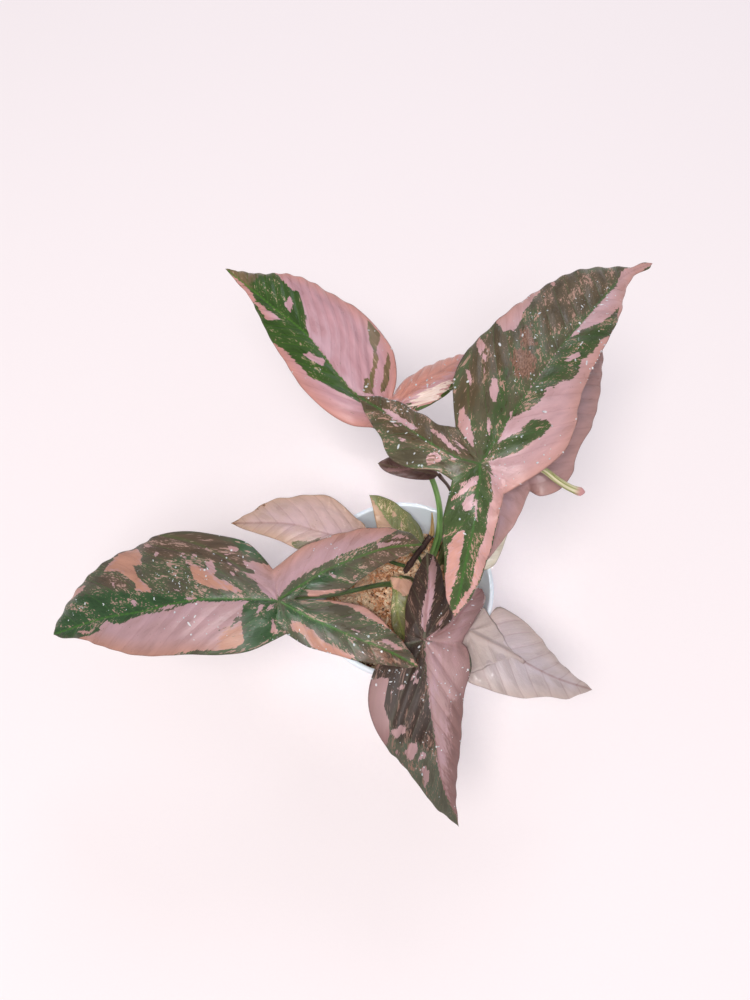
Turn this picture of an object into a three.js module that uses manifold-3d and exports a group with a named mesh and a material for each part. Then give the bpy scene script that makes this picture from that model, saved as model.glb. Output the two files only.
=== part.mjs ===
// A potted pink splash syngonium: a white plastic pot, a filling of dried sphagnum moss,
// a short climbing stem, and eleven leaves with one still furled.
// Millimetres, +Z up, the origin at the centre of the pot's underside.

import * as THREE from 'three';
import { mergeVertices } from 'three/addons/utils/BufferGeometryUtils.js';
import Module from 'manifold-3d';

const wasm = await Module();
wasm.setup();

// Driving dimensions of the pot
const potHeight = 95;
const rimRadius = 55;
const footRadius = 39;
const wall = 2.1;
const floorThickness = 2.2;
const lipHeight = 9;
const lipStep = 1.4;
const drainHoleRadius = 3.2;
const drainHoleCount = 8;
const drainCircleRadius = 24;
const potSides = 48;
const drainHoleSides = 16;

// Driving dimensions of the moss and the plant
const mossLevel = 66;
const mossRise = 5;
const mossSectors = 40;
const mossRings = 6;
const bladeThickness = 0.7;
const clearance = 0.3;
const rootedDepth = 30;
const petioleSides = 7;
const petioleSteps = 11;
const sheathSides = 6;
const sheathSteps = 6;
const rowLength = 12;
const crossSteps = 3;
const seamRows = 3;
const veinSlant = 1.25;
const camber = 0.07;

const up = new THREE.Vector3(0, 0, 1);
const point = ([x, y, z]) => new THREE.Vector3(x, y, z);
const smoothCurve = (points) => new THREE.CatmullRomCurve3(points, false, 'centripetal');

const plant = new THREE.Group();

function addPiece(name, geometry, colour, roughness) {
  const material = new THREE.MeshStandardMaterial({ color: colour, roughness, metalness: 0 });
  const mesh = new THREE.Mesh(geometry, material);
  mesh.name = name;
  plant.add(mesh);
}

// Closed meshes as solids, for the cuts

function asSolid(geometry) {
  const bare = geometry.clone();
  bare.deleteAttribute('normal');
  bare.deleteAttribute('uv');
  const merged = mergeVertices(bare, 1e-4);
  const vertProperties = new Float32Array(merged.attributes.position.array);
  const triVerts = new Uint32Array(merged.index.array);
  return new wasm.Manifold(new wasm.Mesh({ numProp: 3, vertProperties, triVerts }));
}

function asGeometry(solid) {
  const mesh = solid.getMesh();
  const geometry = new THREE.BufferGeometry();
  geometry.setAttribute('position', new THREE.BufferAttribute(mesh.vertProperties, 3));
  geometry.setIndex(new THREE.BufferAttribute(mesh.triVerts, 1));
  return geometry;
}

function indexedGeometry(points, triangles) {
  const geometry = new THREE.BufferGeometry().setFromPoints(points);
  geometry.setIndex(triangles.flat());
  return geometry;
}

// Pot: one moulded shell of white plastic, tapered, with a stepped lip round the rim
// and drain holes in a ring round the middle of its floor

const innerFootRadius = footRadius - wall;
const innerRimRadius = rimRadius - lipStep - wall + 1;

function innerWallRadius(height) {
  const share = (height - floorThickness) / (potHeight - floorThickness);
  return THREE.MathUtils.lerp(innerFootRadius, innerRimRadius, share);
}

function outerWallRadius(height) {
  return innerWallRadius(height) + wall;
}

function potGeometry() {
  const lipFoot = potHeight - lipHeight;
  const profile = [
    [0, 0],
    [footRadius - 2, 0],
    [footRadius, 1.5],
    [outerWallRadius(lipFoot) - 0.2, lipFoot],
    [rimRadius - 0.6, lipFoot + 0.4],
    [rimRadius, potHeight - 1],
    [rimRadius - 0.7, potHeight - 0.2],
    [rimRadius - 1.4, potHeight],
    [innerRimRadius + 0.5, potHeight - 0.3],
    [innerRimRadius, potHeight - 1.2],
    [innerFootRadius, floorThickness],
    [0, floorThickness],
  ].map(([radius, height]) => new THREE.Vector2(radius, height));
  const shell = new THREE.LatheGeometry(profile, potSides);
  shell.rotateX(Math.PI / 2);
  let solid = asSolid(shell);
  for (let i = 0; i < drainHoleCount; i++) {
    const angle = (2 * Math.PI * i) / drainHoleCount;
    const depth = 3 * floorThickness;
    const hole = new THREE.CylinderGeometry(drainHoleRadius, drainHoleRadius, depth, drainHoleSides);
    hole.rotateX(Math.PI / 2);
    hole.translate(drainCircleRadius * Math.cos(angle), drainCircleRadius * Math.sin(angle), 0);
    solid = solid.subtract(asSolid(hole));
  }
  return asGeometry(solid);
}

addPiece('pot', potGeometry(), '#f3f4f6', 0.22);

// Rods: a round stem or petiole that tapers along a smooth route, closed at both ends

function rodGeometry(route, startRadius, endRadius, steps = petioleSteps, sides = petioleSides) {
  const curve = smoothCurve(route);
  const frames = curve.computeFrenetFrames(steps, false);
  const points = [];
  const triangles = [];
  for (let i = 0; i <= steps; i++) {
    const centre = curve.getPointAt(i / steps);
    const radius = THREE.MathUtils.lerp(startRadius, endRadius, i / steps);
    for (let k = 0; k < sides; k++) {
      const angle = (2 * Math.PI * k) / sides;
      const out = frames.normals[i].clone().multiplyScalar(Math.cos(angle));
      out.addScaledVector(frames.binormals[i], Math.sin(angle));
      points.push(centre.clone().addScaledVector(out, radius));
    }
  }
  for (let i = 0; i < steps; i++) {
    for (let k = 0; k < sides; k++) {
      const a = i * sides + k;
      const b = i * sides + ((k + 1) % sides);
      triangles.push([a, b, b + sides], [a, b + sides, a + sides]);
    }
  }
  const last = steps * sides;
  for (let k = 1; k < sides - 1; k++) {
    triangles.push([0, k + 1, k], [last, last + k, last + k + 1]);
  }
  return indexedGeometry(points, triangles);
}

// Blades: thin sheets. Each lobe has a midrib, and on both sides a margin given by
// half widths along it. Neighbouring lobes share a seam from the joint to the notch
// between them. Rows run slantwise from the midrib to the margin, as the side veins do.

function marginCurve(midrib, start, widths, side, fall, tip) {
  const margin = [start];
  for (const [share, width] of widths) {
    const along = midrib.getTangentAt(share).setZ(0).normalize();
    const out = new THREE.Vector3().crossVectors(up, along).multiplyScalar(side * width);
    margin.push(midrib.getPointAt(share).add(out).addScaledVector(up, -fall * width));
  }
  margin.push(tip);
  return smoothCurve(margin);
}

function bladeSurface(leaf) {
  const points = [point(leaf.joint)];
  const triangles = [];
  const add = (p) => points.push(p) - 1;
  const seams = leaf.notches.map((notch) => {
    const line = new THREE.LineCurve3(point(leaf.joint), point(notch));
    return Array.from({ length: seamRows }, (_, k) => add(line.getPoint((k + 1) / seamRows)));
  });

  leaf.lobes.forEach((lobe, index) => {
    const midrib = smoothCurve([leaf.joint, ...lobe.midrib].map(point));
    const rows = Math.max(seamRows + 3, Math.round(midrib.getLength() / rowLength));
    const tip = add(point(lobe.midrib.at(-1)));
    const ribRow = [0];
    for (let r = 1; r < rows; r++) {
      ribRow.push(add(midrib.getPointAt((r / rows) ** veinSlant)));
    }

    for (const side of [1, -1]) {
      const half = side > 0 ? 0 : 1;
      const neighbour = side > 0 ? index : (index + seams.length - 1) % seams.length;
      const seam = seams[neighbour] ?? [];
      const start = seam.length ? points[seam.at(-1)].clone() : point(leaf.joint);
      const widths = side > 0 ? lobe.left : lobe.right;
      const curve = marginCurve(midrib, start, widths, side, lobe.fall[half], points[tip].clone());
      const grid = ribRow.map((rib, r) => {
        if (r === 0) {
          return [0];
        }
        let edge = seam[r - 1];
        if (edge === undefined) {
          const share = (r - seam.length) / (rows - seam.length);
          const ripple = Math.sin(2 * Math.PI * lobe.waves[half] * share) * Math.sin(Math.PI * share);
          edge = add(curve.getPointAt(share).addScaledVector(up, lobe.waveHeight * ripple));
        }
        const row = [rib];
        for (let c = 1; c < crossSteps; c++) {
          const share = c / crossSteps;
          const inner = points[rib].clone().lerp(points[edge], share);
          const halfWidth = points[rib].distanceTo(points[edge]);
          row.push(add(inner.addScaledVector(up, camber * halfWidth * 4 * share * (1 - share))));
        }
        row.push(edge);
        return row;
      });
      grid.push([tip]);
      for (let r = 0; r < rows; r++) {
        for (let c = 0; c < crossSteps; c++) {
          const a = grid[r][c] ?? 0;
          const b = grid[r + 1][c] ?? tip;
          const d = grid[r + 1][c + 1] ?? tip;
          const e = grid[r][c + 1] ?? 0;
          const pair = [[a, b, d], [a, d, e]].filter(([i, j, k]) => i !== j && j !== k && k !== i);
          triangles.push(...(side > 0 ? pair : pair.map(([i, j, k]) => [i, k, j])));
        }
      }
    }
  });
  return { points, triangles };
}

function surfaceNormals(points, triangles) {
  const normals = points.map(() => new THREE.Vector3());
  for (const [a, b, c] of triangles) {
    const ab = points[b].clone().sub(points[a]);
    const ac = points[c].clone().sub(points[a]);
    const normal = ab.cross(ac);
    for (const i of [a, b, c]) {
      normals[i].add(normal);
    }
  }
  return normals.map((normal) => normal.normalize());
}

function bladeGeometry(leaf) {
  const { points, triangles } = bladeSurface(leaf);
  const normals = surfaceNormals(points, triangles);
  const offset = (distance) => points.map((p, i) => p.clone().addScaledVector(normals[i], distance));
  const count = points.length;
  const solidTriangles = [...triangles];
  const edges = new Set(triangles.flatMap(([a, b, c]) => [`${a},${b}`, `${b},${c}`, `${c},${a}`]));
  for (const [a, b, c] of triangles) {
    solidTriangles.push([a + count, c + count, b + count]);
    for (const [from, to] of [[a, b], [b, c], [c, a]]) {
      if (!edges.has(`${to},${from}`)) {
        solidTriangles.push([from, from + count, to + count], [from, to + count, to]);
      }
    }
  }
  const half = bladeThickness / 2;
  return indexedGeometry([...offset(half), ...offset(-half)], solidTriangles);
}

// A petiole rises from its hole in the moss and stops just under the blade's joint

function petioleRoute(leaf, endRadius) {
  const route = leaf.petiole.route.map(point);
  const root = route[0].clone().setZ(mossLevel - rootedDepth);
  const joint = point(leaf.joint);
  const rise = joint.clone().sub(route.at(-1)).normalize();
  const tilt = Math.sqrt(1 - rise.z * rise.z);
  const seat = joint.addScaledVector(up, -(bladeThickness / 2 + clearance + endRadius * tilt));
  return [root, ...route, seat];
}

const rods = [];

function addRod(name, route, startRadius, endRadius, colour, roughness) {
  addPiece(name, rodGeometry(route, startRadius, endRadius), colour, roughness);
  rods.push(rodGeometry(route, startRadius + clearance, endRadius + clearance));
}

function addLeaf(name, leaf) {
  addPiece(`${name}_blade`, bladeGeometry(leaf), leaf.colour, 0.35);
  const [startRadius, endRadius] = leaf.petiole.radii;
  const route = petioleRoute(leaf, endRadius);
  addRod(`${name}_petiole`, route, startRadius, endRadius, leaf.petiole.colour, 0.4);
}

// The largest leaf, on top at the upper right, with a long drip tip

addLeaf('leaf_upper_right', {
  colour: '#5d6146',
  joint: [35, 28, 205],
  petiole: { route: [[25, 22, 70], [27, 24, 120], [31, 27, 172]], radii: [2.2, 1.5], colour: '#4d5a33' },
  lobes: [
    {
      midrib: [
        [49, 49, 210], [64, 71, 211], [84, 100, 206], [107, 131, 197], [128, 158, 187],
        [147, 171, 181],
      ],
      left: [
        [0.12, 29], [0.18, 36], [0.28, 40], [0.38, 38], [0.5, 35], [0.62, 32], [0.71, 28],
        [0.8, 20], [0.87, 9], [0.92, 3], [0.98, 2.2],
      ],
      right: [
        [0.02, 22], [0.08, 27], [0.16, 31], [0.24, 29], [0.31, 24], [0.42, 20], [0.56, 17],
        [0.69, 13], [0.8, 7], [0.9, 3], [0.97, 2.4],
      ],
      fall: [0.15, 0.2], waves: [3, 2], waveHeight: 1.4,
    },
    {
      midrib: [[23, 31, 207], [9, 41, 205], [-6, 57, 198], [-26, 77, 188]],
      left: [[0.2, 10], [0.32, 15], [0.46, 17], [0.62, 12], [0.78, 8]],
      right: [[0.38, 12], [0.55, 12], [0.7, 10], [0.86, 7]],
      fall: [0.3, 0.15], waves: [2, 2], waveHeight: 0.9,
    },
    {
      midrib: [[33, 12, 204], [31, -3, 195], [28, -16, 182], [24, -37, 160]],
      left: [[0.25, 12], [0.42, 11], [0.6, 10], [0.77, 8], [0.9, 4]],
      right: [[0.22, 14], [0.36, 15], [0.5, 13], [0.65, 10], [0.82, 7], [0.93, 3.5]],
      fall: [0.3, 0.3], waves: [2, 2], waveHeight: 0.8,
    },
  ],
  notches: [[24, 50, 202], [21, 20, 203], [47, 15, 197]],
});

// The mauve leaf of the same size underneath it

addLeaf('leaf_under_right', {
  colour: '#a9868a',
  joint: [44, 27, 178],
  petiole: { route: [[33, 22, 70], [34, 24, 110], [37, 28, 154]], radii: [1.9, 1.2], colour: '#6f6a4a' },
  lobes: [
    {
      midrib: [[60, 47, 182], [78, 69, 180], [99, 98, 172], [118, 126, 160]],
      left: [[0.25, 30], [0.4, 33], [0.58, 30], [0.76, 23], [0.92, 11]],
      right: [
        [0.1, 22], [0.17, 28], [0.27, 28], [0.37, 23], [0.5, 21], [0.65, 16], [0.78, 10],
        [0.92, 4],
      ],
      fall: [0.2, 0.15], waves: [2, 3], waveHeight: 0.9,
    },
    {
      midrib: [[33, 39, 176], [23, 50, 168]],
      left: [[0.4, 6], [0.78, 6]],
      right: [[0.7, 8], [0.95, 5]],
      fall: [0.3, 0.3], waves: [1, 1], waveHeight: 0,
    },
    {
      midrib: [[48, 17, 172], [48, 8, 160], [43, -2, 142]],
      left: [[0.25, 14], [0.42, 8], [0.6, 4], [0.8, 2]],
      right: [[0.25, 10], [0.5, 12], [0.8, 7]],
      fall: [0.3, 0.3], waves: [1, 1], waveHeight: 0,
    },
  ],
  notches: [[36, 53, 174], [37, 26, 176], [65, 28, 172]],
});

// The pink and green leaf at the upper left, with one curled ear

addLeaf('leaf_upper_left', {
  colour: '#b98688',
  joint: [-12, 72, 176],
  petiole: {
    route: [[20, 27, 68], [23, 34, 95], [22, 43, 116], [15, 52, 142], [2, 63, 163]],
    radii: [2.1, 1.4], colour: '#4f8a3a',
  },
  lobes: [
    {
      midrib: [[-27, 83, 180], [-39, 98, 181], [-54, 121, 178], [-78, 148, 172], [-109, 184, 160]],
      left: [[0.07, 15], [0.14, 18], [0.27, 20], [0.4, 19], [0.54, 16], [0.68, 9], [0.79, 4], [0.9, 2]],
      right: [
        [0.04, 22], [0.1, 31], [0.2, 35], [0.31, 37], [0.42, 35], [0.55, 32], [0.67, 30],
        [0.78, 23], [0.86, 13], [0.93, 6],
      ],
      fall: [0.2, 0.1], waves: [2, 3], waveHeight: 1.1,
    },
    {
      midrib: [[-1, 62, 178], [9, 57, 173]],
      left: [[0.5, 8], [0.78, 7]],
      right: [[0.4, 7], [0.78, 7]],
      fall: [0.3, 0.3], waves: [1, 1], waveHeight: 0,
    },
    {
      midrib: [[0, 81, 182], [8, 88, 183], [19, 97, 180], [30, 108, 174], [43, 120, 165]],
      left: [[0.16, 7], [0.3, 10], [0.5, 12], [0.68, 10], [0.85, 5]],
      right: [[0.25, 13], [0.4, 14], [0.58, 12], [0.78, 8], [0.92, 4]],
      fall: [0.9, 0.1], waves: [1, 2], waveHeight: 0.5,
    },
  ],
  notches: [[-18, 66, 172], [-6, 69, 175], [-7, 82, 177]],
});

// The broad leaf on the left

addLeaf('leaf_left', {
  colour: '#59644a',
  joint: [-69, -22, 140],
  petiole: {
    route: [[15, 7, 66], [4, 4, 78], [-7, 4, 86], [-39, -12, 118], [-58, -19, 133]],
    radii: [1.8, 1.2], colour: '#3f6a2b',
  },
  lobes: [
    {
      midrib: [
        [-82, -22, 142], [-103, -22, 143], [-122, -23, 139], [-145, -26, 131], [-169, -27, 121],
        [-202, -32, 104],
      ],
      left: [
        [0.1, 27], [0.2, 29], [0.33, 28], [0.46, 26], [0.58, 22], [0.74, 15], [0.86, 7], [0.94, 4],
      ],
      right: [
        [0.08, 27], [0.14, 34], [0.25, 39], [0.36, 43], [0.48, 44], [0.6, 42], [0.71, 38],
        [0.82, 28], [0.91, 18], [0.97, 8],
      ],
      fall: [0.2, 0.12], waves: [3, 3], waveHeight: 1.1,
    },
    {
      midrib: [[-52, -31, 139], [-33, -39, 136], [-11, -47, 132], [7, -55, 127]],
      left: [[0.14, 7], [0.3, 14], [0.45, 18], [0.57, 18], [0.74, 12], [0.9, 6]],
      right: [[0.3, 14], [0.45, 12], [0.6, 11], [0.8, 7], [0.93, 3.5]],
      fall: [0.2, 0.25], waves: [2, 2], waveHeight: 0.8,
    },
    {
      midrib: [[-52, -10, 139], [-33, 1, 136], [-11, 11, 131], [11, 16, 124]],
      left: [[0.28, 20], [0.42, 20], [0.57, 18], [0.72, 15], [0.87, 11], [0.96, 6]],
      right: [[0.1, 4], [0.24, 11], [0.38, 14], [0.5, 12], [0.68, 9], [0.84, 6], [0.94, 3]],
      fall: [0.2, 0.25], waves: [2, 2], waveHeight: 0.8,
    },
  ],
  notches: [[-64, -39, 134], [-60, -21, 139], [-73, -3, 136]],
});

// The dark and pink leaf at the front, with an almost black ear standing up

addLeaf('leaf_front', {
  colour: '#6b5248',
  joint: [11, -38, 116],
  petiole: { route: [[18, 16, 68], [17, -4, 95], [14, -24, 107]], radii: [1.8, 1.2], colour: '#4a3228' },
  lobes: [
    {
      midrib: [[13, -62, 114], [15, -81, 108], [17, -94, 101], [21, -112, 89], [31, -134, 70]],
      left: [[0.05, 24], [0.14, 25], [0.26, 20], [0.38, 17], [0.53, 14], [0.7, 9], [0.88, 3]],
      right: [
        [0.08, 26], [0.18, 32], [0.28, 34], [0.38, 32], [0.48, 27], [0.59, 19], [0.72, 12],
        [0.83, 8], [0.93, 3],
      ],
      fall: [0.15, 0.15], waves: [2, 3], waveHeight: 0.9,
    },
    {
      midrib: [[25, -31, 114], [34, -19, 110], [47, -4, 103]],
      left: [[0.46, 5], [0.72, 7], [0.9, 6]],
      right: [[0.4, 9], [0.55, 9], [0.7, 8], [0.88, 6]],
      fall: [0.3, 0.3], waves: [1, 1], waveHeight: 0,
    },
    {
      midrib: [[12, -25, 121], [14, -7, 120], [14, 15, 114]],
      left: [[0.16, 11], [0.36, 12], [0.56, 10], [0.74, 7], [0.9, 3]],
      right: [[0.28, 15], [0.42, 13], [0.56, 10], [0.74, 8], [0.92, 6]],
      fall: [0.45, 0.45], waves: [2, 2], waveHeight: 0.5,
    },
  ],
  notches: [[33, -38, 110], [19, -33, 115], [0, -38, 112]],
});

// The pale leaf at the front right, close over the rim

addLeaf('leaf_front_right', {
  colour: '#a89a90',
  joint: [38, -29, 100],
  petiole: { route: [[24, 11, 68], [29, -4, 83], [34, -18, 90]], radii: [1.6, 1.1], colour: '#6d4a40' },
  lobes: [
    {
      midrib: [[44, -33, 101], [60, -41, 99], [75, -49, 95], [91, -55, 89], [112, -59, 80]],
      left: [[0.1, 23], [0.22, 24], [0.41, 20], [0.6, 14], [0.8, 7], [0.93, 2.5]],
      right: [[0.12, 24], [0.26, 24], [0.4, 22], [0.53, 18], [0.65, 12], [0.8, 9], [0.93, 3]],
      fall: [0.15, 0.15], waves: [2, 2], waveHeight: 0.8,
    },
    {
      midrib: [[32, -39, 100], [26, -51, 99]],
      left: [[0.7, 9], [0.92, 5]],
      right: [[0.35, 6], [0.78, 6]],
      fall: [0.1, 0.1], waves: [1, 1], waveHeight: 0,
    },
    {
      midrib: [[42, -17, 98], [47, -2, 94]],
      left: [[0.35, 6], [0.75, 6]],
      right: [[0.6, 4], [0.88, 4]],
      fall: [0.2, 0.2], waves: [1, 1], waveHeight: 0,
    },
  ],
  notches: [[36, -54, 98], [34, -31, 99], [48, -14, 97]],
});

// The faded leaf low on the left, over the rim

addLeaf('leaf_low_left', {
  colour: '#ab9688',
  joint: [-24, 22, 104],
  petiole: { route: [[6, 20, 68], [-7, 20, 82], [-16, 21, 95]], radii: [1.5, 1], colour: '#6b6440' },
  lobes: [
    {
      midrib: [[-41, 28, 106], [-51, 31, 106], [-65, 36, 104], [-82, 39, 100], [-107, 42, 92]],
      left: [[0.07, 12], [0.25, 15], [0.43, 14], [0.6, 11], [0.77, 7], [0.92, 3]],
      right: [
        [0.04, 14], [0.12, 17], [0.25, 23], [0.37, 25], [0.48, 23], [0.6, 19], [0.72, 16],
        [0.82, 10], [0.92, 4],
      ],
      fall: [0.15, 0.15], waves: [2, 3], waveHeight: 0.9,
    },
  ],
  notches: [],
});

// The small olive leaf folded along its midrib, at the back of the pot

addLeaf('leaf_low_back', {
  colour: '#6f7347',
  joint: [11, 24, 80],
  petiole: { route: [[14, 22, 66], [13, 22.5, 74]], radii: [1.2, 1], colour: '#6f7a3f' },
  lobes: [
    {
      midrib: [[4, 30, 87], [-6, 38, 94], [-12, 46, 100], [-20, 56, 104]],
      left: [[0.12, 2], [0.32, 5], [0.52, 9], [0.72, 6], [0.88, 2.5]],
      right: [[0.06, 8], [0.15, 12], [0.26, 15], [0.42, 16], [0.66, 13], [0.86, 8]],
      fall: [0.3, 0.2], waves: [1, 1], waveHeight: 0.3,
    },
  ],
  notches: [],
});

// The small maroon leaf under the largest leaf's ear

addLeaf('leaf_small_maroon', {
  colour: '#4c3230',
  joint: [19, 45, 157],
  petiole: { route: [[26, 31, 68], [30, 37, 100], [27, 43, 138]], radii: [1.4, 0.9], colour: '#463526' },
  lobes: [
    {
      midrib: [[7, 46, 161], [-4, 47, 163], [-15, 50, 161]],
      left: [[0.1, 3], [0.35, 5], [0.58, 5], [0.8, 4], [0.94, 2]],
      right: [[0.12, 5], [0.3, 8], [0.5, 8], [0.7, 7], [0.86, 6], [0.96, 3]],
      fall: [0.5, 0.5], waves: [1, 1], waveHeight: 0,
    },
  ],
  notches: [],
});

// The smallest leaf, half hidden in the middle of the pot

addLeaf('leaf_small_middle', {
  colour: '#75704a',
  joint: [-1, 7, 92],
  petiole: { route: [[8, 12, 67], [5, 10, 80]], radii: [1.3, 0.9], colour: '#6d7340' },
  lobes: [
    {
      midrib: [[-3, -2, 93], [-3, -14, 89], [2, -30, 80]],
      left: [[0.04, 8], [0.25, 10], [0.5, 10], [0.75, 8], [0.92, 4]],
      right: [[0.04, 6], [0.25, 3], [0.5, 4], [0.75, 5], [0.92, 3]],
      fall: [0.2, 0.3], waves: [1, 1], waveHeight: 0,
    },
  ],
  notches: [],
});

// The pale leaf low on the right, over the rim

addLeaf('leaf_low_right', {
  colour: '#a79c7e',
  joint: [36, 12, 96],
  petiole: { route: [[34, 12, 66], [35, 12, 82]], radii: [1.4, 1], colour: '#7d7a55' },
  lobes: [
    {
      midrib: [[45, 21, 103], [55, 32, 108], [66, 44, 110]],
      left: [[0.15, 3], [0.35, 6], [0.65, 10], [0.9, 6]],
      right: [[0.08, 8], [0.28, 14], [0.5, 12], [0.68, 9], [0.86, 5]],
      fall: [0.2, 0.15], waves: [1, 1], waveHeight: 0.3,
    },
  ],
  notches: [],
});

// The next leaf, still rolled up tight, which leans out between the two upper right leaves

const furledRoute = [
  [28, 17, 36], [28, 17, 70], [29, 18, 120], [32, 20, 160], [35, 22, 179],
  [43, 27, 189], [56, 34, 193], [71, 31, 192], [80, 25, 189], [90, 19, 185],
].map(point);
const furledRadii = [1.5, 2];
addRod('furled_leaf', furledRoute, ...furledRadii, '#a3a066', 0.45);

// The old climbing stem, leaning back out of the moss, with a dry leaf sheath at its top

const stemRoute = [[-2, 11, 40], [-1, 12, 66], [8, 22, 82], [18, 32, 96]].map(point);
const stemRadii = [2, 1.8];
addRod('main_stem', stemRoute, ...stemRadii, '#3d2622', 0.5);
const sheathRoute = [[18.3, 32.5, 96.7], [18.6, 36, 103], [18, 42, 109]].map(point);
const sheathRadii = [1.5, 0.4];
const sheath = rodGeometry(sheathRoute, ...sheathRadii, sheathSteps, sheathSides);
addPiece('dry_sheath', sheath, '#a5813f', 0.8);

// Moss: dried sphagnum packed to the walls and heaped a little in the middle, with a
// hole for each petiole

function mossGeometry() {
  const sectors = mossSectors;
  const edge = innerWallRadius(mossLevel) - clearance / Math.cos(Math.PI / sectors) - 0.2;
  const bottom = floorThickness + clearance;
  const bottomRadius = innerWallRadius(bottom) - clearance - 0.3;
  const points = [new THREE.Vector3(0, 0, mossLevel + mossRise)];
  const triangles = [];
  for (let ring = 1; ring <= mossRings; ring++) {
    const share = ring / mossRings;
    for (let k = 0; k < sectors; k++) {
      const angle = (2 * Math.PI * k) / sectors;
      const lumps = Math.sin(3 * angle + 9 * share) + Math.sin(7 * angle - 14 * share + 1);
      const height = mossLevel + mossRise * (1 - share * share) + 0.7 * lumps * (1 - share ** 4);
      const radius = edge * share;
      points.push(new THREE.Vector3(radius * Math.cos(angle), radius * Math.sin(angle), height));
    }
  }
  for (let k = 0; k < sectors; k++) {
    const angle = (2 * Math.PI * k) / sectors;
    points.push(new THREE.Vector3(bottomRadius * Math.cos(angle), bottomRadius * Math.sin(angle), bottom));
  }
  const under = points.push(new THREE.Vector3(0, 0, bottom)) - 1;
  for (let k = 0; k < sectors; k++) {
    const next = (k + 1) % sectors;
    triangles.push([0, 1 + k, 1 + next]);
    for (let ring = 0; ring < mossRings; ring++) {
      const inner = 1 + ring * sectors;
      const outer = inner + sectors;
      triangles.push([inner + k, outer + k, outer + next], [inner + k, outer + next, inner + next]);
    }
    const foot = 1 + mossRings * sectors;
    triangles.push([under, foot + next, foot + k]);
  }
  let moss = asSolid(indexedGeometry(points, triangles));
  for (const rod of rods) {
    moss = moss.subtract(asSolid(rod));
  }
  return asGeometry(moss);
}

addPiece('sphagnum_moss', mossGeometry(), '#b98a55', 0.95);

export default plant;
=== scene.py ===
import math

import bmesh
import bpy
import numpy as np
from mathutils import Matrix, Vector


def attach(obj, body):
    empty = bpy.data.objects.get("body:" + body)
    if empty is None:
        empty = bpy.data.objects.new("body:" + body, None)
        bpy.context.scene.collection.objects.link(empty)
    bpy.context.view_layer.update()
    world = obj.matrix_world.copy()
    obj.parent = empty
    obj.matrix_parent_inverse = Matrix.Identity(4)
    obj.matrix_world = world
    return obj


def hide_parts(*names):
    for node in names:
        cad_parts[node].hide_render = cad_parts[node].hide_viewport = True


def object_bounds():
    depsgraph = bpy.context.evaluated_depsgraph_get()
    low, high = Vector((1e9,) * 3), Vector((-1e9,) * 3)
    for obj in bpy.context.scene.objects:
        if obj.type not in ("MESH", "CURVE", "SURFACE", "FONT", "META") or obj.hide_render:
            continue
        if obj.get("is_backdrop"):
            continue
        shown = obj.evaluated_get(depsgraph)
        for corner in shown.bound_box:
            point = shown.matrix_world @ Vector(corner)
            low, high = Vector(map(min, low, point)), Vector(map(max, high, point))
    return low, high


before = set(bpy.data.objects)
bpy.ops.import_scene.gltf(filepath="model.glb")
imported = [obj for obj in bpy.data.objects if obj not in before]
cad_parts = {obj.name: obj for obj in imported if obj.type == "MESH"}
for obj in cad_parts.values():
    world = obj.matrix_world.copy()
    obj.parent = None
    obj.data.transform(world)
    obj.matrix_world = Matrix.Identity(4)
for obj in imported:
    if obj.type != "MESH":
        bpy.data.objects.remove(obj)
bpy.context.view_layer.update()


# The camera and the studio. The camera looks steeply down on the plant, and behind it lies
# a floor of pale, faintly pink paper under soft daylight from a large window overhead.

CAMERA_PLACE = (-0.0165, -0.1436, 0.557)
CAMERA_BELOW_HORIZON = math.radians(66.6)
CAMERA_LENS_MM = 28.8
FLOOR_HALF_WIDTH = 4.0
FLOOR_COLOUR = "#fff4f4"
FLOOR_FIBRE_COLOUR = "#fdf1f1"
FLOOR_FIBRE_MM = 1.5

eye = bpy.data.objects.new("camera", bpy.data.cameras.new("camera"))
eye.location = CAMERA_PLACE
eye.rotation_euler = (math.pi / 2 - CAMERA_BELOW_HORIZON, 0, 0)
eye.data.lens = CAMERA_LENS_MM
eye.data.clip_start = 0.01
bpy.context.scene.collection.objects.link(eye)
bpy.context.scene.camera = eye
bpy.context.scene.view_settings.view_transform = "Standard"


def linear(colour):
    """An sRGB hex colour as linear red, green, blue and alpha."""
    parts = [int(colour[k:k + 2], 16) / 255 for k in (1, 3, 5)]
    return [p / 12.92 if p <= 0.04045 else ((p + 0.055) / 1.055) ** 2.4 for p in parts] + [1.0]


def node(material, kind, inputs=None, **settings):
    """Adds a node with its settings. What feeds its inputs are values, hex colours, the sockets of
    other nodes, or other nodes themselves, of which the first output in use is meant. All that is
    mixed in these materials are colours."""
    made = material.node_tree.nodes.new("ShaderNode" + kind)
    if kind == "Mix":
        made.data_type = "RGBA"
    for name, value in settings.items():
        setattr(made, name, value)
    for name, value in (inputs or {}).items():
        if isinstance(value, bpy.types.Node):
            value = next(socket for socket in value.outputs if socket.enabled)
        if isinstance(value, bpy.types.NodeSocket):
            material.node_tree.links.new(value, made.inputs[name])
        else:
            made.inputs[name].default_value = linear(value) if isinstance(value, str) else value
    return made


def bare_material(name):
    made = bpy.data.materials.new(name)
    made.use_nodes = True
    made.node_tree.nodes.clear()
    return made


# Matt paper, calendered: it shows as an even field with only a breath of fibre.
paper = bare_material("matt_paper_floor")
place = node(paper, "TexCoord").outputs["Object"]
fibre = node(paper, "TexNoise", {"Vector": place, "Scale": 1000 / FLOOR_FIBRE_MM, "Detail": 2.0})
tint = node(paper, "Mix", {0: fibre, 6: FLOOR_COLOUR, 7: FLOOR_FIBRE_COLOUR})
skin = node(paper, "BsdfPrincipled", {"Base Color": tint, "Roughness": 0.9})
node(paper, "OutputMaterial", {"Surface": skin})

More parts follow.
